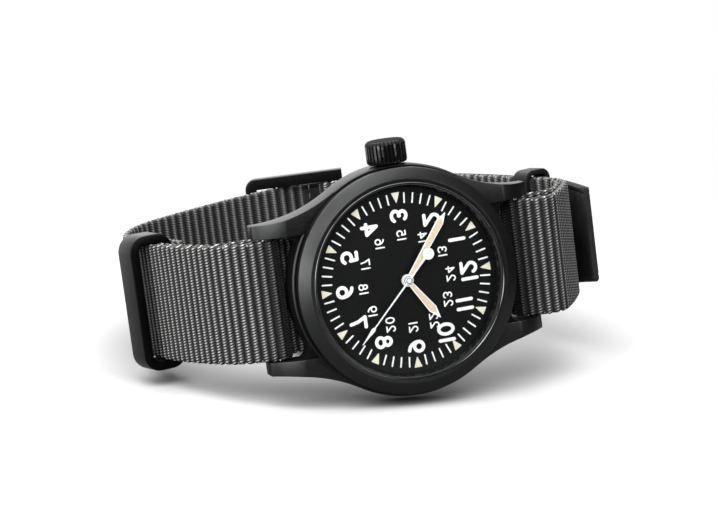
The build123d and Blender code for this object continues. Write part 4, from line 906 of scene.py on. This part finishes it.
# Next to the case the webbing is toned down, as it stands in the case's shade
shade_from, shade_reach, shade_over_z = 20.0, 5.0, -5.6
webbing, tree, shader = new_material("woven_webbing")
weave = kept_point(tree, "weave")
row = add(tree, "ShaderNodeAttribute", attribute_name="row").outputs["Fac"]
stagger = number(tree, "MULTIPLY", number(tree, "MODULO", row, 2.0), warp_stagger)
slant = number(tree, "MULTIPLY", weave["X"], warp_slant)
across = number(tree, "MULTIPLY", weave["Y"], 1 / warp_pitch)
phase = number(tree, "ADD", number(tree, "ADD", across, slant), stagger)
wave = number(tree, "ABSOLUTE", number(tree, "SINE", number(tree, "MULTIPLY", phase, math.pi)))
off_crest = number(tree, "ABSOLUTE", number(tree, "MULTIPLY", weave["X"], crest_slope))
# Painted highlight: each rib is lighter along its crest and falls darker down its sides
crest_highlight = number(tree, "POWER", number(tree, "SUBTRACT", 1.0, off_crest), crest_power)
outer_face = number(tree, "LESS_THAN", weave["Z"], 0.0)
fibre = noise(tree, bench_point(tree, (1, 0.4, 1)), 6.0, 5.0, 0.7)
warp = number(tree, "POWER", wave, dot_power)
dots = number(tree, "MULTIPLY", number(tree, "MULTIPLY", warp, crest_highlight), outer_face)
# The dots' pale tone is partly the warp's pattern and partly painted sheen
warp_and_sheen = number(tree, "MULTIPLY", dots, number(tree, "ADD", 0.5, fibre))
outer_tone_and_sheen = ramp(tree, warp_and_sheen, [(0.03, (0.008, 0.008, 0.0079)), (0.3, (0.036, 0.036, 0.0355)),
                               (0.85, (0.3, 0.3, 0.295))])
# Painted highlight and shade on the wrist's side: lighter along each rib's ridge and darker in the valleys
off_ridge = number(tree, "SUBTRACT", 1.0, number(tree, "ABSOLUTE", weave["X"]))
ridge_light_and_shade = number(tree, "ADD", off_ridge, number(tree, "MULTIPLY", fibre, fibre_share))
inner_tone_and_shade = ramp(tree, ridge_light_and_shade, [(0.35, (0.006, 0.006, 0.006)), (0.75, (0.04, 0.04, 0.039)),
                                (1.05, (0.12, 0.12, 0.117))])
tone = add(tree, "ShaderNodeMix", {0: outer_face, 6: inner_tone_and_shade, 7: outer_tone_and_sheen}, data_type="RGBA")
here = kept_point(tree)
past_case = number(tree, "SUBTRACT", number(tree, "ABSOLUTE", here["X"]), shade_from)
in_light = ramp(tree, number(tree, "DIVIDE", past_case, shade_reach), [(0.0, 0.25), (0.5, 0.6), (1.0, 1.0)])
before_bar = number(tree, "GREATER_THAN", here["Z"], shade_over_z)
light_share = number(tree, "ADD", number(tree, "SUBTRACT", 1.0, before_bar),
                     number(tree, "MULTIPLY", before_bar, in_light))
fill(shader, {"Base Color": times(tree, tone.outputs[2], light_share), "Roughness": 0.6,
              "Specular IOR Level": 0.12, "Sheen Weight": ramp(tree, fibre, [(0.3, 0.0), (0.7, 0.05)]),
              "Normal": relief(tree, wave, 0.8, 0.12)})

core_dark, tree, shader = new_material("woven_core")
fibre = noise(tree, bench_point(tree, (1, 4, 1)), 4.0, 4.0)
fill(shader, {"Base Color": ramp(tree, fibre, [(0.3, 0.006), (0.7, 0.015)]), "Roughness": 0.8,
              "Specular IOR Level": 0.1})

row_along = row_along_tree()
core_sunk, core_inset, core_edge = 0.28, 0.4, 0.2
outer_pitch, inner_pitch = 1.34, 2.05


def woven(name, route, width, thickness, stands_for):
    """A woven band on a route: its core, fine ribs on the outer face and broader ones on the inner."""
    half, edge = thickness / 2 - core_sunk, width / 2 - core_inset
    section = rounded([(-half, -edge), (half, -edge), (half, edge), (-half, edge)], core_edge, 3)
    core = mesh_of(name + "_core", *loft(swept(route, lambda walked, total: section)))
    lay(core, strap, core_dark, "case", stands_for, sharp=50)
    faces = {"outer": (-thickness / 2, thickness / 4, outer_pitch),
             "inner": (-thickness / 4, thickness / 2, inner_pitch)}
    for face, (low_z, high_z, pitch) in faces.items():
        ribs = grown(name + "_" + face, rail(route), row_along, rib(width, low_z, high_z, pitch),
                     {"Pitch": pitch, "Material": webbing})
        lay(ribs, strap, webbing, "case", [], sharp=75)


# The long band starts where its fold round the buckle's bar comes back to it, some steps up its route
band_width, long_thick, short_thick = 19.5, 1.2, 1.0
route_step, fold_r, fold_steps = 0.3, 1.45, 26
meeting = long_route[fold_steps]
towards_band = meeting - Vector(heel)
spread = math.degrees(math.acos(fold_r / towards_band.length))
faced = math.degrees(math.atan2(towards_band.y, towards_band.x))
fold = [Vector(p) for p in arc(heel, (fold_r, fold_r), faced + spread, faced + 360 - spread, 24)]
folded_route = evenly([meeting] + fold + long_route[fold_steps + 1:], route_step)
woven("long_band", folded_route, band_width, long_thick, ["strap_long"])

# The short band runs inside the long one, a small play away, and hooks round the wide ring's strip
band_play, hook_play, hook_slack = 0.15, 0.3, 0.05
ring_strip, ring_length, ring_from_end, under_half = 1.3, 4.5, 70.3, 24.0
inside = -(long_thick / 2 + band_play + short_thick / 2)
low_z = under_z + inside
turn_r = short_thick / 2 + hook_play + ring_strip / 2
turn_x = ring_length / 2 + turn_r + band_play
ring_place = place_on(long_route, length_of(long_route) - ring_from_end)
hook_corners = ((turn_x, -inside), (turn_x, 2 * turn_r - inside), (-ring_length, 2 * turn_r - inside))
hook = [ring_place @ Vector((x, 0, z)) for x, z in hook_corners]
bulge, *beyond = beside(right_side, inside)[4:]
short_corners = [tuple((Vector(bulge) + Vector(beyond[0])) / 2)] + beyond
short_corners += [(under_half, low_z), (-under_half, low_z)] + beside(left_side, inside)[:2]
short_corners += [(p.x, p.z) for p in hook]
last = len(short_corners) - 1
short_radii = {last - 1: turn_r - hook_slack, last - 2: turn_r - hook_slack}
short_route = filleted(short_corners, short_radii)
woven("short_band", short_route, band_width, short_thick, ["strap_short"])

# The leather tail. It is cut from black leather with a creased border, a tapered end and a row of
# punched holes, and is sewn to the end of the long band with two rows of stitches.
tail_thick, tail_half, tail_play = 1.6, 9.75, 0.15
taper_length, taper_depth = 11.0, 1.35
crease_depth, crease_middle, crease_half, soft_edge = 0.12, 1.25, 0.25, 0.45
# How far the ends are softened, with the loss of half width and the half thickness there
cut_first, cut_last, cut_slim, cut_half_thick = 0.1, 0.15, 0.3, 0.5
soft_last, soft_slim, soft_half_thick = 0.45, 0.06, 0.72
seam = long_route[-1] + tangents(long_route)[-1] * tail_play
tail_dip, tail_end = on_loop(0.214, 0.985), on_loop(1.042, 0.1386)
beside_band = beside(right_side, long_thick / 2 + tail_play + tail_thick / 2)[:5]
tail_route = filleted([tuple(seam), tail_dip] + beside_band + [tail_end])
tail_length = length_of(tail_route)
edge_share, edge_inset = 0.55, 0.05


def leather_section(walked, total):
    """The tail's section: soft edges, and a crease beside each border."""
    half = tail_half - max(walked - total + taper_length, 0.0) / taper_length * taper_depth
    thick = tail_thick / 2
    if walked < cut_first or walked > total - cut_last:
        half, thick = half - cut_slim, cut_half_thick
    elif walked > total - soft_last:
        half, thick = half - soft_slim, soft_half_thick
    crease = [(thick, crease_middle - crease_half), (thick - crease_depth, crease_middle),
              (thick, crease_middle + crease_half)]
    left = [(thick, -half + soft_edge)] + [(off, -half + across) for off, across in crease]
    right = [(off, half - across) for off, across in reversed(crease)] + [(thick, half - soft_edge)]
    side = left + [(thick, 0.0)] + right + [(thick * edge_share, half - edge_inset)]
    return side + [(-off, -across) for off, across in side]


def carried(place, verts_and_faces):
    """Corners and faces moved to a place."""
    verts, faces = verts_and_faces
    return [tuple(place @ Vector(v)) for v in verts], faces


hole_count, hole_pitch, hole_from_end, hole_r, punch_half = 5, 5.5, 14.0, 0.9, 2
rod = loft([[(x, y, z) for x, y in arc((0, 0), (hole_r, hole_r), 0, 360, 24)[:-1]]
            for z in (-punch_half, punch_half)])
hole_places = [tail_length - hole_from_end - hole_pitch * k for k in range(hole_count)]
punches = [carried(place_on(tail_route, distance), rod) for distance in hole_places]

# The slit for the buckle's tongue, drawn from the buckle's bar as the buckle is
buckle_fall = math.radians(16)
slit_half, slit_from, slit_to, slit_low, slit_high = 0.9, -1.35, 14.0, -3.9, 6.1
towards = Vector((-math.cos(buckle_fall), 0, -math.sin(buckle_fall)))
buckle_place = Matrix.Identity(4)
buckle_place.col[0], buckle_place.col[2] = (*towards, 0), (-towards.z, 0, towards.x, 0)
buckle_place.col[3] = (heel[0], 0, heel[1], 1)
slit_outline = [(slit_from, -slit_half), (slit_to, -slit_half), (slit_to, slit_half), (slit_from, slit_half)]
slit = loft([[(x, y, z) for x, y in slit_outline] for z in (slit_low, slit_high)])
punches.append(carried(buckle_place, slit))

blank = new_object("tail_blank", mesh_of("leather_tail", *loft(swept(tail_route, leather_section))))
punch = new_object("punches_pattern", mesh_of("punches", *together(punches)))
cut = blank.modifiers.new("punched", "BOOLEAN")
cut.operation, cut.object, cut.solver = "DIFFERENCE", punch, "EXACT"
tail_mesh = plain_mesh(blank, "leather_tail")
bpy.data.objects.remove(punch)

leather, tree, shader = new_material("black_leather")
pores = add(tree, "ShaderNodeTexVoronoi", {"Vector": bench_point(tree), "Scale": 3.2, "Randomness": 1.0})
patch = noise(tree, bench_point(tree, (1, 0.5, 1)), 0.6, 5.0)
fill(shader, {"Base Color": ramp(tree, patch, [(0.3, (0.006, 0.006, 0.006)), (0.7, (0.014, 0.0135, 0.013))]),
              "Roughness": ramp(tree, patch, [(0.3, 0.5), (0.7, 0.68)]), "Specular IOR Level": 0.2,
              "Normal": relief(tree, pores.outputs["Distance"], 0.35, 0.06)})
lay(tail_mesh, strap, leather, "case", ["strap_tail"], sharp=40)

thread, tree, shader = new_material("sewing_thread")
twist = add(tree, "ShaderNodeTexWave", {"Vector": bench_point(tree), "Scale": 3.0, "Distortion": 1.0})
fill(shader, {"Base Color": ramp(tree, twist.outputs["Fac"], [(0.2, 0.03), (0.8, 0.09)]), "Roughness": 0.6})
thread_r, stitch_pitch, stitched_half, row_places = 0.16, 1.5, 8.6, (1.2, 7.0)
stitch_profile = [(-0.55, 0.3), (-0.45, 0.85), (0.0, 1.0), (0.45, 0.85), (0.55, 0.3)]
stitch_rings = []
for x, slim in stitch_profile:
    edge = arc((0, 0), (thread_r * slim, thread_r * slim), 0, 360, 8)[:-1]
    stitch_rings.append([(x, y, z) for y, z in edge])
stitch_mesh = mesh_of("stitch", *loft(stitch_rings))
stitch_line = rail([(-stitched_half, 0), (stitched_half, 0)])
rows = []
for distance in row_places:
    for face_side in (-tail_thick / 2, tail_thick / 2):
        sewn = grown("sewn_row", stitch_line, row_along, stitch_mesh,
                     {"Pitch": stitch_pitch, "Material": thread})
        on_face = Matrix.Translation((0, 0, face_side)) @ Matrix.Rotation(math.pi / 2, 4, "Z")
        rows.append(carried(place_on(tail_route, distance) @ on_face, plain_parts(sewn)))
lay(mesh_of("tail_stitches", *together(rows)), strap, thread, "case", [], sharp=50)

# The ring and the keepers. Flat loops round the strap, bent from steel strip with softly broken
# edges and coated black. The wide ring hangs in the short band's hook; one keeper is sewn in by the
# buckle, and the other slides.


def hoop(opening_t, opening_w, wall, length, corner_r, edge):
    """A closed loop, whose X runs along the strap, with a rounded section."""
    middle_r = corner_r + wall / 2
    corner_t, corner_w = (opening_t + wall) / 2 - middle_r, (opening_w + wall) / 2 - middle_r
    section = rounded([(-wall / 2, -length / 2), (wall / 2, -length / 2), (wall / 2, length / 2),
                       (-wall / 2, length / 2)], edge, 4)
    rings = []
    for side_t, side_w, start in ((1, 1, 0), (-1, 1, 90), (-1, -1, 180), (1, -1, 270)):
        for out_t, out_w in arc((0, 0), (1, 1), start, start + 90, 12):
            rings.append([(x, side_w * corner_w + (middle_r + off) * out_w,
                           side_t * corner_t + (middle_r + off) * out_t) for off, x in section])
    return loft(rings, True)


ring_shift, keeper_shift = -0.275, -0.875
ring_hoop = hoop(opening_t=4.65, opening_w=19.64, wall=1.6, length=5.0, corner_r=1.3, edge=0.28)
ring_mesh = mesh_of("wide_ring", *ring_hoop)
ring_mesh.transform(ring_place @ Matrix.Translation((0, 0, ring_shift)))
ring_black, tree, shader = new_material("ring_satin_black")
finish_metal(tree, shader, (0.0048, 0.0049, 0.005), (0.28, 0.36), bench_point(tree, (1, 0.35, 1)),
             scale=5.0, depth=0.006, metallic=0.9)
fill(shader, {"Specular IOR Level": 0.3})
lay(ring_mesh, strap, ring_black, "ring", ["strap_ring"], sharp=60)

keeper_black, tree, shader = new_material("keeper_matt_black")
finish_metal(tree, shader, (0.008, 0.008, 0.008), (0.35, 0.48), bench_point(tree),
             scale=5.0, depth=0.012, metallic=0.2)
fill(shader, {"Specular IOR Level": 0.12})
# Each keeper's distance from the heel, and the body that carries it
keepers = {"keeper_fixed": (12.0, "case"), "keeper_loose": (50.0, "keeper")}
for name, (distance, body) in keepers.items():
    keeper_hoop = hoop(opening_t=3.75, opening_w=20.1, wall=1.0, length=3.6, corner_r=0.8, edge=0.3)
    keeper_mesh = mesh_of(name + "_loop", *keeper_hoop)
    keeper_mesh.transform(place_on(long_route, distance) @ Matrix.Translation((0, 0, keeper_shift)))
    lay(keeper_mesh, strap, keeper_black, body, [name], sharp=60)

# The buckle. A rounded steel frame that is open at its heel, coated satin black, with a bar through
# it that the long band folds round. Its tongue turns on the bar and rests on the far rail.
frame_heel_x, frame_far_x, frame_half, frame_corner_r = -2.55, 14.95, 10.95, 1.05
frame_section = rounded([(-1.12, -1.5), (0.95, -1.5), (0.95, 0.8), (-1.12, 0.8)], 0.2, 4)
corner_centre = (frame_far_x - frame_corner_r, frame_half - frame_corner_r)
frame_side = [(frame_heel_x, frame_half)] + arc(corner_centre, (frame_corner_r, frame_corner_r), 90, 0, 9)
frame_path = frame_side + [(x, -y) for x, y in reversed(frame_side)]
frame_rings = []
for here, along in zip(frame_path, tangents([Vector(p) for p in frame_path])):
    frame_rings.append([(here[0] - along.y * off, here[1] + along.x * off, z) for off, z in frame_section])
buckle_black, tree, shader = new_material("hardware_satin_black")
finish_metal(tree, shader, (0.009, 0.009, 0.0092), (0.26, 0.34), bench_point(tree, (1, 0.35, 1)),
             scale=5.0, depth=0.006, metallic=0.9)
buckle_mesh = mesh_of("buckle_frame_loop", *loft(frame_rings))
buckle_mesh.transform(buckle_place)
lay(buckle_mesh, strap, buckle_black, "buckle", ["buckle_frame"], sharp=60)

# The tongue's stations: distance from the bar, half width, height and foot
tongue_stations = [(0.0, 0.75, 1.1, 0.85), (4.0, 0.75, 1.1, 0.85), (14.7, 0.72, 1.0, 0.86),
                   (16.5, 0.68, 0.9, 0.87), (17.1, 0.4, 0.5, 0.95)]
tongue_rings = []
for x, half, high, foot in tongue_stations:
    section = rounded([(-half, 0.0), (half, 0.0), (half, high), (-half, high)], 0.25, 3)
    tongue_rings.append([(x, y, z + foot) for y, z in section])
collar_r, collar_bore_r, collar_half = 1.35, 0.76, 0.75
collar_outline = [(collar_bore_r, -collar_half), (collar_r, -collar_half), (collar_r, collar_half),
                  (collar_bore_r, collar_half)]
collar_verts, collar_faces = lathe(rounded(collar_outline, 0.15, 3), 48)
collar = ([(x, z, y) for x, y, z in collar_verts], collar_faces)
tongue_mesh = mesh_of("tongue_blade", *together([loft(tongue_rings), collar]))
tongue_mesh.transform(buckle_place)
lay(tongue_mesh, strap, buckle_black, "tongue", ["buckle_tongue"], sharp=50)

# What stays as packed. The movement behind the closed back, the seals, the crown tube, the back, the
# spring bars and the buckle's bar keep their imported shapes, each in its own metal, plastic or rubber
# with a little grain.

# For each slot its colour, least and most roughness, and share of metal
packed = {
    "plate_brass": ((0.72, 0.6, 0.38), (0.3, 0.45), 0.9),
    "wheel_brass": ((0.85, 0.66, 0.32), (0.2, 0.32), 1.0),
    "movement_steel": ((0.62, 0.62, 0.64), (0.2, 0.35), 1.0),
    "gasket_rubber": ((0.03, 0.03, 0.03), (0.6, 0.75), 0.0),
    "ring_plastic": ((0.16, 0.16, 0.165), (0.5, 0.62), 0.0),
    "case_black": ((0.02, 0.0204, 0.0208), (0.32, 0.44), 0.9),
    "hardware_black": ((0.011, 0.011, 0.0115), (0.24, 0.34), 0.9),
}
packed_grain = 6000.0
slot_of = {entry["node"]: entry["material_slot"] for entry in frame["record"]["subparts"]}
finishes = {}
for slot_name, (colour, rough, metallic) in packed.items():
    finishes[slot_name], tree, shader = new_material("packed_" + slot_name)
    here = add(tree, "ShaderNodeTexCoord").outputs["Object"]
    finish_metal(tree, shader, colour, rough, here, scale=packed_grain, depth=0.004, metallic=metallic)
for node_name, node in frame["nodes"].items():
    finish = finishes.get(slot_of[node_name])
    if finish:
        node.data.materials.clear()
        node.data.materials.append(finish)

# The surface it lies on. A sheet of white paper, darker where things stand near and inside the
# strap's loop, where no light falls. Away from the watch it fades into the white background.
sheet_half, near_distance, near_power, bounce_share = 3, 0.04, 0.6, 0.4
loop_middle, loop_reach, loop_turn = (0.015, 0.005, 0), (0.028, 0.0095, 1), math.radians(17.6)
sheet_corners = [(-1, -1), (1, -1), (1, 1), (-1, 1)]
floor_mesh = bpy.data.meshes.new("white_floor")
floor_mesh.from_pydata([(x * sheet_half, y * sheet_half, 0) for x, y in sheet_corners], [], [(0, 1, 2, 3)])
floor = new_object("white_floor", floor_mesh)
paper, tree, shader = new_material("white_paper")
here = add(tree, "ShaderNodeTexCoord").outputs["Object"]
paper_tone = ramp(tree, noise(tree, here, 40.0, 2.0), [(0.3, 0.52), (0.7, 0.53)])
nearby = add(tree, "ShaderNodeAmbientOcclusion", {"Distance": near_distance}).outputs["AO"]
in_loop = add(tree, "ShaderNodeMapping", {"Vector": here, "Location": loop_middle,
                                          "Rotation": (0, 0, loop_turn), "Scale": loop_reach},
              vector_type="TEXTURE")


def reach_of(tree, point):
    """A point's distance from the origin."""
    return add(tree, "ShaderNodeVectorMath", {0: point}, operation="LENGTH").outputs["Value"]


loop_shade = ramp(tree, reach_of(tree, in_loop.outputs["Vector"]), [(0.85, 0.15), (1.1, 1.0)])
near_shade = times(tree, loop_shade, number(tree, "POWER", nearby, near_power))
seen = add(tree, "ShaderNodeLightPath").outputs["Is Camera Ray"]
seen_share = number(tree, "ADD", bounce_share, number(tree, "MULTIPLY", seen, 1.0 - bounce_share))
fill(shader, {"Base Color": times(tree, paper_tone, times(tree, near_shade, seen_share)), "Roughness": 0.8,
              "Specular IOR Level": 0.0})
faded = ramp(tree, reach_of(tree, here), [(0.075, 0.0), (0.16, 1.0)])
open_white = add(tree, "ShaderNodeBsdfTransparent").outputs["BSDF"]
blended = add(tree, "ShaderNodeMixShader", {0: faded, 1: shader.outputs["BSDF"], 2: open_white})
fill(tree.nodes["Material Output"], {"Surface": blended.outputs["Shader"]})
floor_mesh.materials.append(paper)

# The room. White to the camera, a faint even light on the watch, and in reflections a dark room with
# a bright side and a pale card low on the left.
world = bpy.data.worlds.new("studio")
bpy.context.scene.world = world
world.use_nodes = True
tree = world.node_tree
even_light = tree.nodes["Background"]
fill(even_light, {"Color": (0.97, 0.985, 1.0, 1), "Strength": 0.22})
white = add(tree, "ShaderNodeBackground", {"Color": (1, 1, 1, 1), "Strength": 1.0})


def glow(side, stops, strength):
    """Light that a reflection meets towards one side of the room."""
    facing = add(tree, "ShaderNodeVectorMath",
                 {0: add(tree, "ShaderNodeTexCoord").outputs["Generated"], 1: side}, operation="DOT_PRODUCT")
    tone = ramp(tree, facing.outputs["Value"], stops)
    return add(tree, "ShaderNodeBackground", {"Color": tone, "Strength": strength}).outputs["Background"]


bright_side = glow((-0.6, 0.8, 0.0), [(-0.1, 0.03), (0.25, 0.25), (0.6, 1.0)], 1.4)
low_card = glow((-0.95, -0.28, -0.12), [(0.9, 0.0), (0.985, 1.0)], 5.0)
room = add(tree, "ShaderNodeAddShader", {0: bright_side, 1: low_card})
rays = add(tree, "ShaderNodeLightPath").outputs
mirrored = add(tree, "ShaderNodeMixShader", {0: rays["Is Glossy Ray"], 1: even_light.outputs["Background"],
                                             2: room.outputs["Shader"]})
chosen = add(tree, "ShaderNodeMixShader", {0: rays["Is Camera Ray"], 1: mirrored.outputs["Shader"],
                                           2: white.outputs["Background"]})
fill(tree.nodes["World Output"], {"Surface": chosen.outputs["Shader"]})

# The lamps. Soft boxes and cards round the watch, which pass the floor by. Two lamps of its own light
# the floor, so that the shadow stays as soft and pale as on a lit table.
spared = bpy.data.collections.new("floor_spared")
spared.objects.link(floor)
spared.collection_objects[0].light_linking.link_state = "EXCLUDE"
floor_only = bpy.data.collections.new("floor_only")
floor_only.objects.link(floor)


def lamp(name, place, aim, size, power, lit=spared):
    """A soft box of a width and height, aimed at a point, for the watch or for the floor alone."""
    light = bpy.data.lights.new(name, "AREA")
    light.shape, light.size, light.size_y, light.energy = "RECTANGLE", size[0], size[1], power
    made = new_object(name, light)
    made.location = place
    made.rotation_euler = (Vector(aim) - Vector(place)).to_track_quat("-Z", "Y").to_euler()
    made.visible_camera = False
    made.light_linking.receiver_collection = lit


low_aim, watch_aim = (0, 0, 0.02), (0, 0, 0.03)
lamp("floor_front", (-0.16, -0.36, 0.5), (0, 0.03, 0), (0.8, 0.7), 13.5, floor_only)
lamp("floor_overhead", (-0.08, 0.1, 0.62), (0, 0, 0), (0.9, 0.9), 4.5, floor_only)
lamp("top_softbox", (-0.08, 0.1, 0.62), low_aim, (1.0, 0.9), 24.0)
lamp("front_softbox", (-0.28, -0.7, 0.5), watch_aim, (0.3, 0.3), 3.6)
lamp("left_softbox", (-0.6, -0.3, 0.3), low_aim, (0.3, 0.5), 5.0)
lamp("front_left_card", (-0.42, -0.44, 0.1), low_aim, (0.28, 0.14), 1.3)
lamp("right_strip", (0.4, -0.56, 0.3), low_aim, (0.15, 0.4), 2.2)

# The camera. A long lens in front of the watch, a little to its left and above, that stands by the
# head as the head leans.
eye_place, looks_along = (-0.1076, -0.3697, 0.0515), (0.2591, 0.9578, -0.1241)
top_towards = (0.1644, 0.0829, 0.9829)
upright = stand @ tilted
turned = upright.to_3x3()
eye = upright @ Vector(eye_place)
forward = turned @ Vector(looks_along).normalized()
right = forward.cross(turned @ Vector(top_towards)).normalized()
up = right.cross(forward)
camera_data = bpy.data.cameras.new("camera")
camera_data.sensor_width, camera_data.lens, camera_data.clip_start = 36.0, 120.54, 0.01
camera = new_object("camera", camera_data)
place = Matrix((right, up, -forward)).transposed().to_4x4()
place.translation = eye
camera.matrix_world = place
bpy.context.scene.camera = camera
bpy.context.scene.view_settings.view_transform = "Standard"
